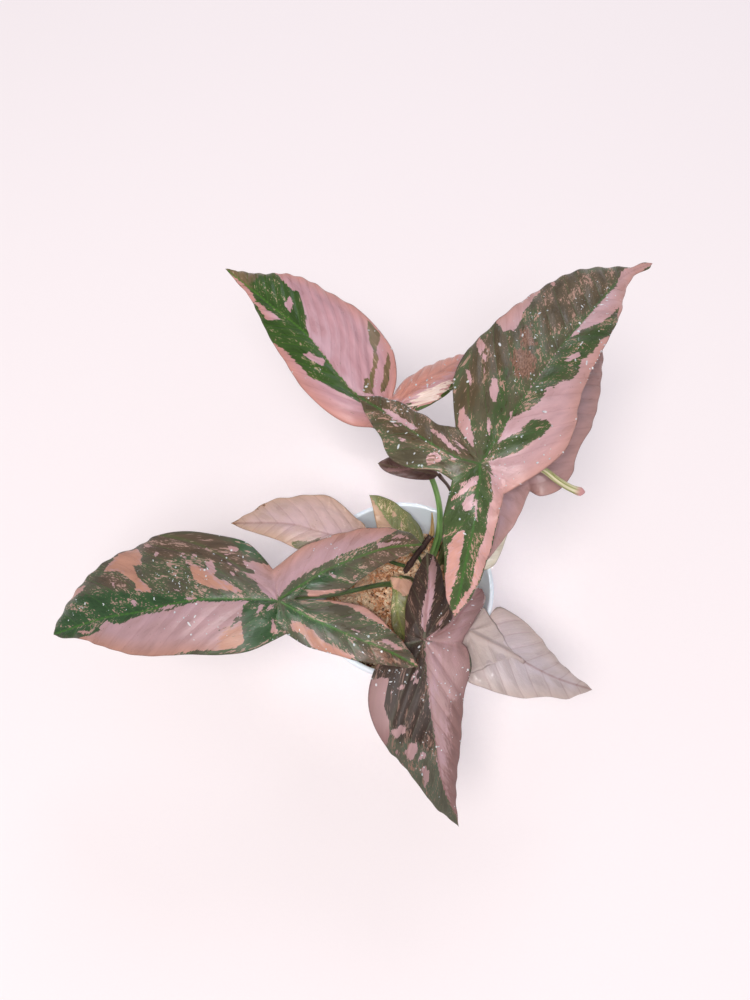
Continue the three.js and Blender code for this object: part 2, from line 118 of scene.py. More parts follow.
side = FLOOR_HALF_WIDTH
floor_mesh = bpy.data.meshes.new("floor")
floor_mesh.from_pydata(
    [(-side, -side, 0), (side, -side, 0), (side, side, 0), (-side, side, 0)], [], [(0, 1, 2, 3)],
)
floor_mesh.materials.append(paper)
floor = bpy.data.objects.new("floor", floor_mesh)
bpy.context.scene.collection.objects.link(floor)
floor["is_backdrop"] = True

SKY_COLOUR = "#f4f7ff"
SKY_STRENGTH = 0.45
world = bpy.data.worlds.new("soft_sky")
world.use_nodes = True
world.node_tree.nodes["Background"].inputs["Color"].default_value = linear(SKY_COLOUR)
world.node_tree.nodes["Background"].inputs["Strength"].default_value = SKY_STRENGTH
bpy.context.scene.world = world

# Each lamp: place and aim in metres, size in metres, power in watts, spread in degrees, colour
LAMPS = {
    "window_overhead": ((-0.6, -0.8, 2.6), (0, 0, 0.12), 1.1, 31.0, 180, "#fffaf4"),
    "window_behind": ((0.5, 2.2, 1.9), (0, 0, 0.15), 1.2, 13.0, 180, "#eef3ff"),
    "white_card_in_front": ((0.1, -1.3, 2.5), (0, 0, 0.1), 0.9, 17.0, 180, "#fbfcff"),
    "fill_into_pot": ((-0.045, -0.38, 1.33), (0, 0.01, 0.09), 0.1, 0.022, 10, "#f4f8ff"),
}
for name, (spot, aim, size, power, spread, colour) in LAMPS.items():
    lamp = bpy.data.lights.new(name, "AREA")
    lamp.shape = "DISK"
    lamp.size = size
    lamp.energy = power
    lamp.spread = math.radians(spread)
    lamp.color = linear(colour)[:3]
    holder = bpy.data.objects.new(name, lamp)
    holder.location = spot
    away = np.array(spot, float) - np.array(aim, float)
    away /= np.linalg.norm(away)
    holder.rotation_euler = (math.acos(away[2]), 0, math.atan2(away[1], away[0]) + math.pi / 2)
    bpy.context.scene.collection.objects.link(holder)


# The pot. A nursery pot of white polypropylene, injection moulded in one piece, with a
# stepped lip round the rim and a ring of drain holes in its floor. Everything stands in it.

# Sizes are in millimetres, here and in all that follows
POT_HEIGHT = 95
RIM_RADIUS = 55
FOOT_RADIUS = 39
POT_WALL = 2.1
POT_FLOOR = 2.2
LIP_HEIGHT = 9
RIM_THICKNESS = 2.5
LIP_DRAFT = 0.4
FOOT_FILLET = 1.4
LIP_FILLET = 0.5
RIM_FILLET = 1.0
UNDERSIDE_RING = 3
FLOOR_RING = 4
DRAIN_HOLE_RADIUS = 3.2
DRAIN_CIRCLE_RADIUS = 24
DRAIN_HOLES = 8
POT_SECTORS = 144
HOLE_SECTORS = 28
MM = 0.001

inner_foot = FOOT_RADIUS - POT_WALL
inner_rim = RIM_RADIUS - RIM_THICKNESS


def inner_wall(height):
    return np.interp(height, [POT_FLOOR, POT_HEIGHT], [inner_foot, inner_rim])


def round_turn(steps):
    """The angles of equal steps round a full turn."""
    return 2 * math.pi * np.arange(steps) / steps


def rounded(corners, steps=5):
    """A profile of [radius, height] points from corners that each carry the size of their fillet."""
    path = [corners[0][:2]]
    for before, corner, after in zip(corners, corners[1:], corners[2:]):
        here = np.array(corner[:2], float)
        back = (np.array(before[:2]) - here) / math.dist(before[:2], corner[:2]) * corner[2]
        onward = (np.array(after[:2]) - here) / math.dist(after[:2], corner[:2]) * corner[2]
        for t in np.linspace(0, 1, steps):
            path.append(tuple(here + back * (1 - t) ** 2 + onward * t ** 2))
    return path + [corners[-1][:2]]


def settle(name, mesh, material, slot, *nodes):
    """Makes a piece of a mesh: it rides on the one body, has its finish and stands for its CAD nodes."""
    mesh.materials.append(material)
    mesh.shade_smooth()
    made = bpy.data.objects.new(name, mesh)
    bpy.context.scene.collection.objects.link(made)
    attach(made, "root")
    if nodes:
        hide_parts(*nodes)


lip_foot = POT_HEIGHT - LIP_HEIGHT
profile = rounded([
    (FOOT_RADIUS - UNDERSIDE_RING, 0, 0),
    (FOOT_RADIUS, 0, FOOT_FILLET),
    (inner_wall(lip_foot) + POT_WALL, lip_foot, LIP_FILLET),
    (RIM_RADIUS - LIP_DRAFT, lip_foot, LIP_FILLET),
    (RIM_RADIUS, POT_HEIGHT, RIM_FILLET),
    (inner_rim, POT_HEIGHT, RIM_FILLET),
    (inner_foot, POT_FLOOR, RIM_FILLET),
    (inner_foot - FLOOR_RING, POT_FLOOR, 0),
])
shell = bmesh.new()
turn = round_turn(POT_SECTORS)
rings = [
    [shell.verts.new((r * math.cos(a) * MM, r * math.sin(a) * MM, z * MM)) for a in turn]
    for r, z in profile
]
for lower, upper in zip(rings, rings[1:]):
    for k in range(POT_SECTORS):
        shell.faces.new((lower[k - 1], lower[k], upper[k], upper[k - 1]))
hole_turn = round_turn(HOLE_SECTORS)
sides = {}
for height, rim in ((0, rings[0]), (POT_FLOOR, rings[-1])):
    loops = [rim]
    for bearing in round_turn(DRAIN_HOLES):
        x = DRAIN_CIRCLE_RADIUS * math.cos(bearing)
        y = DRAIN_CIRCLE_RADIUS * math.sin(bearing)
        wall = [(x + DRAIN_HOLE_RADIUS * math.cos(a), y + DRAIN_HOLE_RADIUS * math.sin(a)) for a in hole_turn]
        loops.append([shell.verts.new((east * MM, north * MM, height * MM)) for east, north in wall])
    sides[height] = loops[1:]
    edges = []
    for loop in loops:
        for k in range(len(loop)):
            ends = (loop[k - 1], loop[k])
            edges.append(shell.edges.get(ends) or shell.edges.new(ends))
    bmesh.ops.triangle_fill(shell, edges=edges, use_beauty=True)
for under, over in zip(sides[0], sides[POT_FLOOR]):
    for k in range(HOLE_SECTORS):
        shell.faces.new((under[k - 1], under[k], over[k], over[k - 1]))
bmesh.ops.recalc_face_normals(shell, faces=shell.faces)
pot_mesh = bpy.data.meshes.new("pot_shell")
shell.to_mesh(pot_mesh)
shell.free()

# White polypropylene, injection moulded: bright and a little waxy, with the softest orange
# peel in its gloss, fine scuffs, and a brown tide mark of peat where the moss stays wet.
POT_WHITE = "#f0f7ff"
POT_WORN = "#e8eff6"
PEAT = "#8d6f52"
TIDE_LOW = 60
TIDE_HIGH = 78
TIDE_DEPTH = 0.8
ORANGE_PEEL_MM = 0.9
SCUFF_MM = 7.0
plastic = bare_material("moulded_polypropylene_white")
place = node(plastic, "TexCoord").outputs["Object"]
peel = node(plastic, "TexNoise", {"Vector": place, "Scale": 1000 / ORANGE_PEEL_MM, "Detail": 1.0})
scuff = node(plastic, "TexNoise", {
    "Vector": place, "Scale": 1000 / SCUFF_MM, "Detail": 6.0, "Roughness": 0.7,
})
height = node(plastic, "SeparateXYZ", {0: place}).outputs["Z"]
tide = node(plastic, "MapRange", {"Value": height, "From Min": TIDE_HIGH * MM, "From Max": TIDE_LOW * MM})
spread = node(plastic, "MapRange", {"Value": scuff, "From Min": 0.5, "From Max": 0.72})
across = node(plastic, "VectorMath", {0: place, 1: (1, 1, 0)}, operation="MULTIPLY")
reach = node(plastic, "VectorMath", {0: across}, operation="LENGTH")
slope = (inner_rim - inner_foot) / (POT_HEIGHT - POT_FLOOR)
foot = node(plastic, "Math", {0: height, 1: -slope, 2: reach}, operation="MULTIPLY_ADD")
inside = node(plastic, "Math", {0: foot, 1: (inner_foot + TIDE_DEPTH) * MM}, operation="LESS_THAN")
wet = node(plastic, "Math", {0: tide, 1: inside}, operation="MULTIPLY")
grime = node(plastic, "Math", {0: wet, 1: spread}, operation="MULTIPLY", use_clamp=True)
worn = node(plastic, "Mix", {0: scuff, 6: POT_WHITE, 7: POT_WORN})
tone = node(plastic, "Mix", {0: grime, 6: worn, 7: PEAT})
gloss = node(plastic, "MapRange", {"Value": scuff, "To Min": 0.22, "To Max": 0.4})
bump = node(plastic, "Bump", {"Height": peel, "Strength": 0.15, "Distance": 0.0002})
skin = node(plastic, "BsdfPrincipled", {
    "Base Color": tone, "Roughness": gloss, "IOR": 1.49, "Normal": bump,
})
node(plastic, "OutputMaterial", {"Surface": skin})

settle("pot_shell", pot_mesh, plastic, "white_plastic", "pot")
pot_mesh.set_sharp_from_angle(angle=math.radians(40))


# The moss. Long-fibre sphagnum, dried, wetted again and packed in round the roots: a bed that
# fills the pot, heaped a little in the middle, with loose strands that lie on it every way.

MOSS_LEVEL = 66
MOSS_RISE = 5
MOSS_CLEARANCE = 0.5
MOSS_FOOT = 2.6
MOSS_SECTORS = 120
MOSS_RINGS = 34
BED_SINK = 1.2
BED_LUMPS = 0.55
STRANDS = 1700
STRAND_STEPS = 12
STRAND_SIDES = 4
STRAND_LENGTHS = (6, 20)
STRAND_RADII = (0.4, 1.15)
STRAND_LEVELS = (-1.6, 3.0)
STRAND_BENDS = 0.7
STRAND_MARGIN = 1.2
LEAFLETS = 9
LEAFLET_LENGTHS = (1.2, 2.8)

chance = np.random.default_rng(7)
moss_edge = inner_wall(MOSS_LEVEL) - MOSS_CLEARANCE


def moss_height(share, bearing):
    """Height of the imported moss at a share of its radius, with the low lumps that packing leaves."""
    lumps = np.sin(3 * bearing + 9 * share) + np.sin(7 * bearing - 14 * share + 1)
    return MOSS_LEVEL + MOSS_RISE * (1 - share ** 2) + 0.7 * lumps * (1 - share ** 4)


def write_mesh(name, points, faces):
    """A mesh from points in millimetres."""
    made = bpy.data.meshes.new(name)
    made.from_pydata((np.asarray(points) * MM).tolist(), [], faces)
    return made


def write_values(mesh, name, values, domain="POINT"):
    """Keeps a number or a vector for each point, or each corner, for the material to read."""
    kind, field = ("FLOAT", "value") if np.ndim(values) == 1 else ("FLOAT_VECTOR", "vector")
    layer = mesh.attributes.new(name, kind, domain)
    layer.data.foreach_set(field, np.asarray(values, np.float32).ravel())


def ring_faces(first, rings, sides):
    """The faces between closed rings of points that follow each other from the first point on."""
    made = []
    for low in range(first, first + (rings - 1) * sides, sides):
        for k in range(sides):
            after = (k + 1) % sides
            made.append((low + k, low + after, low + sides + after, low + sides + k))
    return made


bearings = round_turn(MOSS_SECTORS)
shares = np.linspace(0, 1, MOSS_RINGS)[1:]
share, bearing = np.meshgrid(shares, bearings, indexing="ij")
top = moss_height(share, bearing) - BED_SINK + chance.normal(0, BED_LUMPS, share.shape) * (share < 0.99)
bed = [np.dstack([moss_edge * share * np.cos(bearing), moss_edge * share * np.sin(bearing), top])]
for height, tuck in ((45, 0), (20, 0), (MOSS_FOOT, 0), (MOSS_FOOT, 12), (MOSS_FOOT, 30)):
    radius = inner_wall(height) - MOSS_CLEARANCE - tuck
    level = np.full((1, MOSS_SECTORS), height)
    bed.append(np.dstack([radius * np.cos(bearings[None]), radius * np.sin(bearings[None]), level]))
bed = np.vstack(bed)
middles = [[0, 0, MOSS_LEVEL + MOSS_RISE - BED_SINK], [0, 0, MOSS_FOOT]]
points = np.vstack([bed.reshape(-1, 3), middles])
crown, bottom = len(points) - 2, len(points) - 1
faces = [(a, d, c, b) for a, b, c, d in ring_faces(0, len(bed), MOSS_SECTORS)]
last = (len(bed) - 1) * MOSS_SECTORS
for k in range(MOSS_SECTORS):
    after = (k + 1) % MOSS_SECTORS
    faces += [(crown, k, after), (bottom, last + after, last + k)]
bed_mesh = write_mesh("moss_bed", points, faces)


def unit(vectors):
    return vectors / np.maximum(np.linalg.norm(vectors, axis=-1, keepdims=True), 1e-9)


def tubes(lines, radii, sides, section=None):
    """Points (strand, step, side, xyz) of round skins along lines, and their faces with closed ends.
    The section, if there is one, gives a share of the radius for each strand, step and side."""
    along = unit(np.gradient(lines, axis=1))
    across = np.zeros_like(lines)
    lean = unit(np.cross(along[:, 0], [0.31, 0.17, 1.0]))
    for step in range(lines.shape[1]):
        lean = unit(lean - (lean * along[:, step]).sum(-1, keepdims=True) * along[:, step])
        across[:, step] = lean
    over = np.cross(along, across)
    angle = round_turn(sides)
    ring = across[:, :, None] * np.cos(angle)[:, None] + over[:, :, None] * np.sin(angle)[:, None]
    reach = radii[:, :, None] * (np.ones(sides) if section is None else section)
    skin = lines[:, :, None] + ring * reach[..., None]
    count, steps = lines.shape[:2]
    made = []
    for base in range(0, count * steps * sides, steps * sides):
        made += ring_faces(base, steps, sides)
        end = base + (steps - 1) * sides
        made += [tuple(range(base, base + sides))[::-1], tuple(range(end, end + sides))]
    return skin, made


length = chance.uniform(*STRAND_LENGTHS, STRANDS)
start = np.sqrt(chance.uniform(0, 0.94, STRANDS)) * moss_edge
bearing = chance.uniform(0, 2 * math.pi, STRANDS)
heading = chance.uniform(0, 2 * math.pi, STRANDS)
turnings = np.cumsum(chance.normal(0, STRAND_BENDS, (STRANDS, STRAND_STEPS)), axis=1) + heading[:, None]
stride = (length / STRAND_STEPS)[:, None, None] * np.dstack([np.cos(turnings), np.sin(turnings)])
origin = np.dstack([start * np.cos(bearing), start * np.sin(bearing)]).reshape(-1, 1, 2)
flat = origin + np.cumsum(stride, axis=1)
reach = np.linalg.norm(flat, axis=-1, keepdims=True)
flat *= np.minimum(1, (moss_edge - STRAND_MARGIN) / np.maximum(reach, 1e-6))
reach = np.linalg.norm(flat, axis=-1)
layer = chance.uniform(*STRAND_LEVELS, (STRANDS, 1))
waves = np.linspace(0, 1, STRAND_STEPS) * chance.uniform(2, 9, (STRANDS, 1))
swing = np.sin(waves + chance.uniform(0, 6, (STRANDS, 1)))
from_middle = np.abs(np.linspace(-1, 1, STRAND_STEPS))
rise = layer + 1.5 * swing - 1.6 * from_middle ** 4
lift = moss_height(reach / moss_edge, np.arctan2(flat[..., 1], flat[..., 0])) + rise
lines = np.dstack([flat, lift])
thick = chance.uniform(*STRAND_RADII, (STRANDS, 1)) * (1 - 0.6 * from_middle ** 3)
skin, faces = tubes(lines, thick, STRAND_SIDES)
points = [skin.reshape(-1, 3)]
shade = chance.uniform(0, 1, STRANDS)
tones = [np.repeat(shade, STRAND_STEPS * STRAND_SIDES)]
count = STRANDS * STRAND_STEPS * STRAND_SIDES

# The tiny leaves that clothe each strand: folded slips that stand off it, pointing onward
which = np.repeat(np.arange(STRANDS), LEAFLETS)
where = chance.uniform(0, STRAND_STEPS - 1.001, len(which))
step = where.astype(int)
part = (where - step)[:, None]
foot = lines[which, step] * (1 - part) + lines[which, step + 1] * part
onward = unit(lines[which, step + 1] - lines[which, step])
aside = unit(np.cross(onward, unit(chance.normal(0, 1, foot.shape))))
size = chance.uniform(*LEAFLET_LENGTHS, (len(which), 1))
tip = foot + (onward * 0.8 + aside * 0.7) * size
blunt = np.cross(onward, aside) * size * 0.36
middle = foot + (tip - foot) * 0.5
points.append(np.stack([foot, middle + blunt, tip, middle - blunt], axis=1).reshape(-1, 3))
tone = np.clip(shade[which] + chance.normal(0, 0.15, len(which)), 0, 1)
tones.append(np.repeat(tone, 4))
faces += [tuple(count + 4 * k + np.arange(4)) for k in range(len(which))]
strand_mesh = write_mesh("moss_strands", np.vstack(points), faces)
write_values(strand_mesh, "shade", np.concatenate(tones))

# Sphagnum, air dried: papery strands that run from cream to fox brown, with next to no shine. The dark gaps
# between them are painted shade, a dark brown laid into the packed bed's colour.
MOSS_CREAM = "#ffe2bd"
MOSS_GOLD = "#eda975"
MOSS_BROWN = "#8f5532"
MOSS_GAP_PAINTED_SHADE = "#3d2416"
CELL_MM = 0.6
TUFT_MM = 6.0


def dried_moss(name, bed_in_painted_shade):
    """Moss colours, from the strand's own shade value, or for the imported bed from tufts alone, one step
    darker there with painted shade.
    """
    made = bare_material(name)
    place = node(made, "TexCoord").outputs["Object"]
    tuft = node(made, "TexNoise", {"Vector": place, "Scale": 1000 / TUFT_MM, "Detail": 3.0})
    cell = node(made, "TexNoise", {"Vector": place, "Scale": 1000 / CELL_MM, "Detail": 2.0})
    shade = node(made, "Attribute", attribute_name="shade").outputs["Fac"]
    mixed = node(made, "Math", {0: shade, 1: 0.75, 2: 0.0}, operation="MULTIPLY_ADD")
    level = node(made, "Math", {0: mixed, 1: tuft}, operation="ADD")
    dark = node(made, "MapRange", {"Value": level, "From Min": 0.32, "From Max": 0.66})
    pale = node(made, "MapRange", {"Value": level, "From Min": 0.6, "From Max": 1.0})
    # Painted shade: the bed's tints run down to the dark gap colour, for the shade under and between the
    # loose strands
    tints = (MOSS_GAP_PAINTED_SHADE, MOSS_BROWN, MOSS_GOLD) if bed_in_painted_shade else (MOSS_BROWN, MOSS_GOLD, MOSS_CREAM)
    warm = node(made, "Mix", {0: dark, 6: tints[0], 7: tints[1]})
    tone = node(made, "Mix", {0: pale, 6: warm, 7: tints[2]})
    mottle = node(made, "MapRange", {
        "Value": cell, "From Min": 0.3, "From Max": 0.7, "To Min": 0.6, "To Max": 1.15,
    })
    grain = node(made, "Mix", {0: 1.0, 6: tone, 7: mottle}, blend_type="MULTIPLY")
    bump = node(made, "Bump", {"Height": cell, "Strength": 0.6, "Distance": 0.0004})
    skin = node(made, "BsdfPrincipled", {
        "Base Color": grain, "Roughness": 0.85, "Sheen Weight": 0.15, "Normal": bump,
    })
    node(made, "OutputMaterial", {"Surface": skin})
    return made


settle("moss_bed", bed_mesh, dried_moss("sphagnum_packed", True), "dried_sphagnum", "sphagnum_moss")
settle("moss_strands", strand_mesh, dried_moss("sphagnum_loose_strands", False), "dried_sphagnum")


# The stem. The plant's old climbing stem, a woody rod with a swollen ring at each node and
# the scars of roots and leaves, which leans back out of the moss. It has rooted in the pot.

STEM_ROUTE = [(-2, 11, 40), (-1, 12, 66), (8, 22, 82), (18, 32, 96)]
STEM_RADII = (2.0, 1.8)
STEM_NODES = (0.42, 0.63, 0.86)
ROD_STEP_MM = 1.2


def catmull_rom(points, per_span=48):
    """Close places on the centripetal Catmull-Rom curve through the points."""
    points = np.array(points, float)
    padded = np.vstack([2 * points[0] - points[1], points, 2 * points[-1] - points[-2]])
    t = np.linspace(0, 1, per_span, endpoint=False)[:, None]
    spans = []
    for before, here, there, after in zip(padded, padded[1:], padded[2:], padded[3:]):
        pairs = ((before, here), (here, there), (there, after))
        d0, d1, d2 = (math.dist(a, b) ** 0.5 for a, b in pairs)
        leave = ((here - before) / d0 - (there - before) / (d0 + d1) + (there - here) / d1) * d1
        reach = ((there - here) / d1 - (after - here) / (d1 + d2) + (after - there) / d2) * d1
        bend = 3 * (there - here) - 2 * leave - reach
        spans.append(here + leave * t + bend * t ** 2 + (2 * (here - there) + leave + reach) * t ** 3)
    return np.vstack([*spans, points[-1:]])


def curve_length(curve):
    return np.linalg.norm(np.diff(curve, axis=0), axis=1).sum()


def at_shares(curve, shares):
    """Places on a curve at shares of its length."""
    run = np.concatenate([[0], np.cumsum(np.linalg.norm(np.diff(curve, axis=0), axis=1))])
    return np.column_stack([np.interp(shares, run / run[-1], curve[:, k]) for k in range(3)])


def rod(name, route, radius_at, material, slot, *nodes, sides=20, section=None):
    """A rod along a route. Functions of the share of its length give its radius in mm and its section."""
    curve = catmull_rom(route)
    length = curve_length(curve)
    share = np.linspace(0, 1, int(length / ROD_STEP_MM) + 2)
    angle = round_turn(sides)
    shape = None if section is None else section(share[:, None], angle[None])[None]
    skin, faces = tubes(at_shares(curve, share)[None], radius_at(share)[None], sides, shape)
    mesh = write_mesh(name, skin.reshape(-1, 3), faces)
    around = np.broadcast_to(np.cos(angle), (len(share), sides))
    other = np.broadcast_to(np.sin(angle), (len(share), sides))
    run = np.broadcast_to((share * length)[:, None], (len(share), sides))
    write_values(mesh, "grain", np.dstack([around, other, run]).reshape(-1, 3))
    settle(name, mesh, material, slot, *nodes)


def fibrous(name, dark, light, mark, marks, gloss, fibre=0.35):
    """A stalk's skin: fine lines along it, a slow change of tone, and small marks of another colour.
    A fibre's width is a share of the radius: 0.35 is half a millimetre on a stalk 3 mm thick."""
    made = bare_material(name)
    grain = node(made, "Attribute", attribute_name="grain").outputs["Vector"]
    patterns = []
    for around, run, detail in ((1 / fibre, 0.12, 3.0), (0.8, 0.05, 2.0), (2.2, 0.9, 3.0)):
        scaled = node(made, "VectorMath", {0: grain, 1: (around, around, run)}, operation="MULTIPLY")
        patterns.append(node(made, "TexNoise", {"Vector": scaled, "Scale": 1.0, "Detail": detail}))
    lines, tone, spots = patterns
    wash = node(made, "MapRange", {"Value": tone, "From Min": 0.35, "From Max": 0.65})
    body = node(made, "Mix", {0: wash, 6: dark, 7: light})
    stripe = node(made, "MapRange", {
        "Value": lines, "From Min": 0.35, "From Max": 0.7, "To Min": 0.86, "To Max": 1.12,
    })
    lined = node(made, "Mix", {0: 1.0, 6: body, 7: stripe}, blend_type="MULTIPLY")
    spot = node(made, "MapRange", {
        "Value": spots, "From Min": 0.72 - 0.2 * marks, "From Max": 0.76 - 0.2 * marks,
    })
    marked = node(made, "Mix", {0: spot, 6: lined, 7: mark})
    bump = node(made, "Bump", {"Height": lines, "Strength": 0.35, "Distance": 0.0003})
    skin = node(made, "BsdfPrincipled", {
        "Base Color": marked, "Roughness": gloss, "IOR": 1.45, "Normal": bump, "Coat Weight": 0.2,
        "Coat Roughness": 0.3,
    })
    node(made, "OutputMaterial", {"Surface": skin})
    return made


def stem_radius(share):
    """The stem tapers, and swells into a ring at each node."""
    rings = sum(np.exp(-((share - at) / 0.018) ** 2) for at in STEM_NODES)
    return np.interp(share, [0, 1], STEM_RADII) * (1 + 0.28 * rings)


# Living bark over wood, grown: purple brown, dull, with a few pale corky specks
bark = fibrous("stem_bark_purple_brown", "#2b1a18", "#4a322c", "#7b6552", 0.35, 0.5)
rod("stem", STEM_ROUTE, stem_radius, bark, "stem_brown", "main_stem")

# The last leaf sheath on the stem, dried to a straw coloured scroll that ends in a point.
# It is dead leaf base: papery, ribbed along, and grows from the ring under the stem's tip.
SHEATH_ROUTE = [(18.3, 32.5, 96.2), (18.6, 36, 103), (18, 42, 109)]
SHEATH_RADII = (1.75, 0.3)
SHEATH_FLUTES = 7


def sheath_section(share, angle):
    """Dry ribs round the scroll, with one deep furrow where its edges meet."""
    furrow = np.exp(-((angle - math.pi) / 0.35) ** 2)
    return 1 + 0.07 * np.cos(SHEATH_FLUTES * angle + 3 * share) - 0.5 * furrow


straw = fibrous("leaf_sheath_dried_straw", "#94713b", "#c9ad80", "#6b4a2c", 0.3, 0.75, fibre=0.25)
rod("sheath", SHEATH_ROUTE, lambda share: np.interp(share, [0, 1], SHEATH_RADII), straw,
    "sheath_straw", "dry_sheath", sides=28, section=sheath_section)


# The leaf stalks and blades. Each blade is one thin living sheet with a midrib in every lobe,
# all sprung from the joint where the stalk meets it. The plant grows them one after another.

# A leaf is written down in mm: the joint of its stalk and blade, the stalk's course with its lower
# and upper radius, the notches between its lobes, the gap between its side veins with their lean,
# and how high the tissue swells between them. For each lobe follow the midrib, the half width on
# either side at percents of the midrib, how far the halves fall as a share of their width, and the
# waves of the margin. Its paint is outlines of coloured tissue, laid on in their order, with points
# in percent of the midrib and of the half width, minus on the right. Green takes pink away again.


# Points that are compared in one go, so that memory stays small
AT_ONCE = 64


def outline_distance(points, outline):
    """Distance in mm, seen from above, from each point to a closed outline. It is negative inside."""
    nearest = np.full(len(points), 1e9)
    inside = np.zeros(len(points), bool)
    for a, b in zip(outline, np.roll(outline, -1, axis=0)):
        edge = b - a
        share = np.clip(((points - a) @ edge) / max(edge @ edge, 1e-9), 0, 1)
        nearest = np.minimum(nearest, np.linalg.norm(points - a - share[:, None] * edge, axis=1))
        crosses = (a[1] > points[:, 1]) != (b[1] > points[:, 1])
        rise = (points[:, 1] - a[1]) / (edge[1] if edge[1] else 1e-9)
        inside ^= crosses & (points[:, 0] < a[0] + rise * edge[0])
    return np.where(inside, -nearest, nearest)


def nearest_distance(points, targets):
    """Distance from each point to the nearest of the targets."""
    nearest = np.full(len(points), 1e9)
    for chunk in np.array_split(targets, max(1, len(targets) // AT_ONCE)):
        gaps = np.linalg.norm(points[:, None] - chunk[None], axis=2)
        nearest = np.minimum(nearest, gaps.min(axis=1))
    return nearest


# Side veins bend towards the tip as they run out, and those of the joint fan out backwards
VEIN_BEND = 0.012
VEIN_FAN = 16.0
FAN_REACH = 60


def vein_place(spots, midrib, lean):
    """Which side vein runs through each spot: how many mm along the midrib it starts. Veins that
    start at the joint itself fan out backwards, and count below zero."""
    length = curve_length(midrib)
    line = at_shares(midrib, np.linspace(0, 1, int(length) + 2))
    along = unit(np.gradient(line, axis=0))
    back = np.arange(FAN_REACH, 0, -1)[:, None]
    line = np.vstack([line[0] - along[0] * back, line])
    along = np.vstack([np.broadcast_to(along[0], (FAN_REACH, 3)), along])
    run = np.concatenate([-back[:, 0], np.linspace(0, length, len(line) - FAN_REACH)])
    place = np.zeros(len(spots))
    for some in np.array_split(np.arange(len(spots)), max(1, len(spots) // AT_ONCE)):
        gaps = spots[some][:, None] - line[None]
        near = np.linalg.norm(gaps, axis=2).argmin(axis=1)
        gap = gaps[np.arange(len(some)), near]
        ahead = (gap * along[near]).sum(axis=1)
        out = np.linalg.norm(gap - ahead[:, None] * along[near], axis=1)
        start = run[near] + ahead
        from_rib = start - lean * out - VEIN_BEND * out ** 2
        fan = np.arctan2(out, start) - np.arctan2(1, lean + VEIN_BEND * out)
        place[some] = np.where(from_rib > 0, from_rib, -VEIN_FAN * fan)
    return place


# The net of points that a blade is made of, its rows slanting forward like the side veins
SEAM_ROWS = 3
ROW_LENGTH = 12
ROW_GAP = 0.95
FEWEST_COLUMNS = 8
VEIN_SLANT = 1.25
CAMBER = 0.07
UP = np.array([0, 0, 1.0])


def lay_out(leaf):
    """The upper side of a blade: its points, and for each half lobe its net, rows and midrib."""
    joint = np.array(leaf["joint"], float)
    notches = [np.array(n, float) for n in leaf["notches"]]
    seam_steps = round(max([np.linalg.norm(n - joint) for n in notches], default=0) / ROW_GAP)
    points = [joint[None]]
    count = 1
    seams = []
    for notch in notches:
        points.append(joint + (notch - joint) * (np.arange(1, seam_steps + 1) / seam_steps)[:, None])
        seams.append(count + np.arange(seam_steps))
        count += seam_steps
    halves = []
    for index, lobe in enumerate(leaf["lobes"]):
        midrib = catmull_rom([joint, *lobe["midrib"]])
        length = curve_length(midrib)
        seam_share = SEAM_ROWS / max(SEAM_ROWS + 3, round(length / ROW_LENGTH)) if notches else 0
        free_steps = round(length * (1 - seam_share) / ROW_GAP)
        rows = np.concatenate([
            np.linspace(0, seam_share, seam_steps, endpoint=False),
            np.linspace(seam_share, 1, free_steps + 1),
        ])
        rib = at_shares(midrib, rows ** VEIN_SLANT)
        tip = count
        rib_ids = np.concatenate([[0], count + 1 + np.arange(len(rows) - 2), [tip]])
        points += [rib[-1:], rib[1:-1]]
        count += len(rows) - 1
        for side, widths, fall, waves in zip(
            (1, -1), (lobe["left"], lobe["right"]), lobe["fall"], lobe["waves"],
        ):
            seam = (index if side > 0 else index - 1) % len(notches) if notches else None
            margin = [joint if seam is None else notches[seam]]
            for percent, width in widths:
                share = percent / 100
                ahead, behind = at_shares(midrib, [min(share + 1e-3, 1), max(share - 1e-3, 0)])
                out = np.cross(UP, unit((ahead - behind) * [1, 1, 0])) * side * width
                margin.append(at_shares(midrib, [share])[0] + out - UP * fall * width)
            margin = catmull_rom([*margin, rib[-1]])
            free = np.clip((rows - seam_share) / (1 - seam_share), 0, 1)
            edge = at_shares(margin, free)
            edge[:, 2] += lobe["wave_height"] * np.sin(2 * math.pi * waves * free) * np.sin(math.pi * free)
            if seam is not None:
                on = rows < seam_share
                edge[on] = joint + (notches[seam] - joint) * (rows[on] / seam_share)[:, None]
            edge[0] = joint
            columns = max(FEWEST_COLUMNS, round(max(w for _, w in widths) / ROW_GAP))
            across = np.linspace(0, 1, columns + 1)
            width = np.linalg.norm(edge - rib, axis=1)
            grid = rib[:, None] + (edge - rib)[:, None] * across[None, :, None]
            grid[:, :, 2] += CAMBER * width[:, None] * 4 * (across * (1 - across))[None]
            ids = np.zeros((len(rows), columns + 1), int)
            ids[:, 0] = rib_ids
            ids[-1] = tip
            inner = count + np.arange((len(rows) - 2) * (columns - 1)).reshape(-1, columns - 1)
            ids[1:-1, 1:-1] = inner
            points.append(grid[1:-1, 1:-1].reshape(-1, 3))
            count += inner.size
            first = 1
            if seam is not None:
                ids[1:seam_steps + 1, -1] = seams[seam]
                first = seam_steps + 1
            ids[first:-1, -1] = count + np.arange(len(rows) - 1 - first)
            points.append(grid[first:-1, -1])
            count += len(rows) - 1 - first
            halves.append({
                "lobe": index, "side": side, "ids": ids, "rows": rows, "rib": rib, "edge": edge,
                "run": across[None] * width[:, None], "across": np.broadcast_to(across, ids.shape),
                "vein": vein_place(grid.reshape(-1, 3), midrib, leaf["vein_lean"]).reshape(ids.shape),
                "free": np.broadcast_to(free[:, None], ids.shape),
            })
    return np.vstack(points), halves


LOBE_SHIFT = 37.0


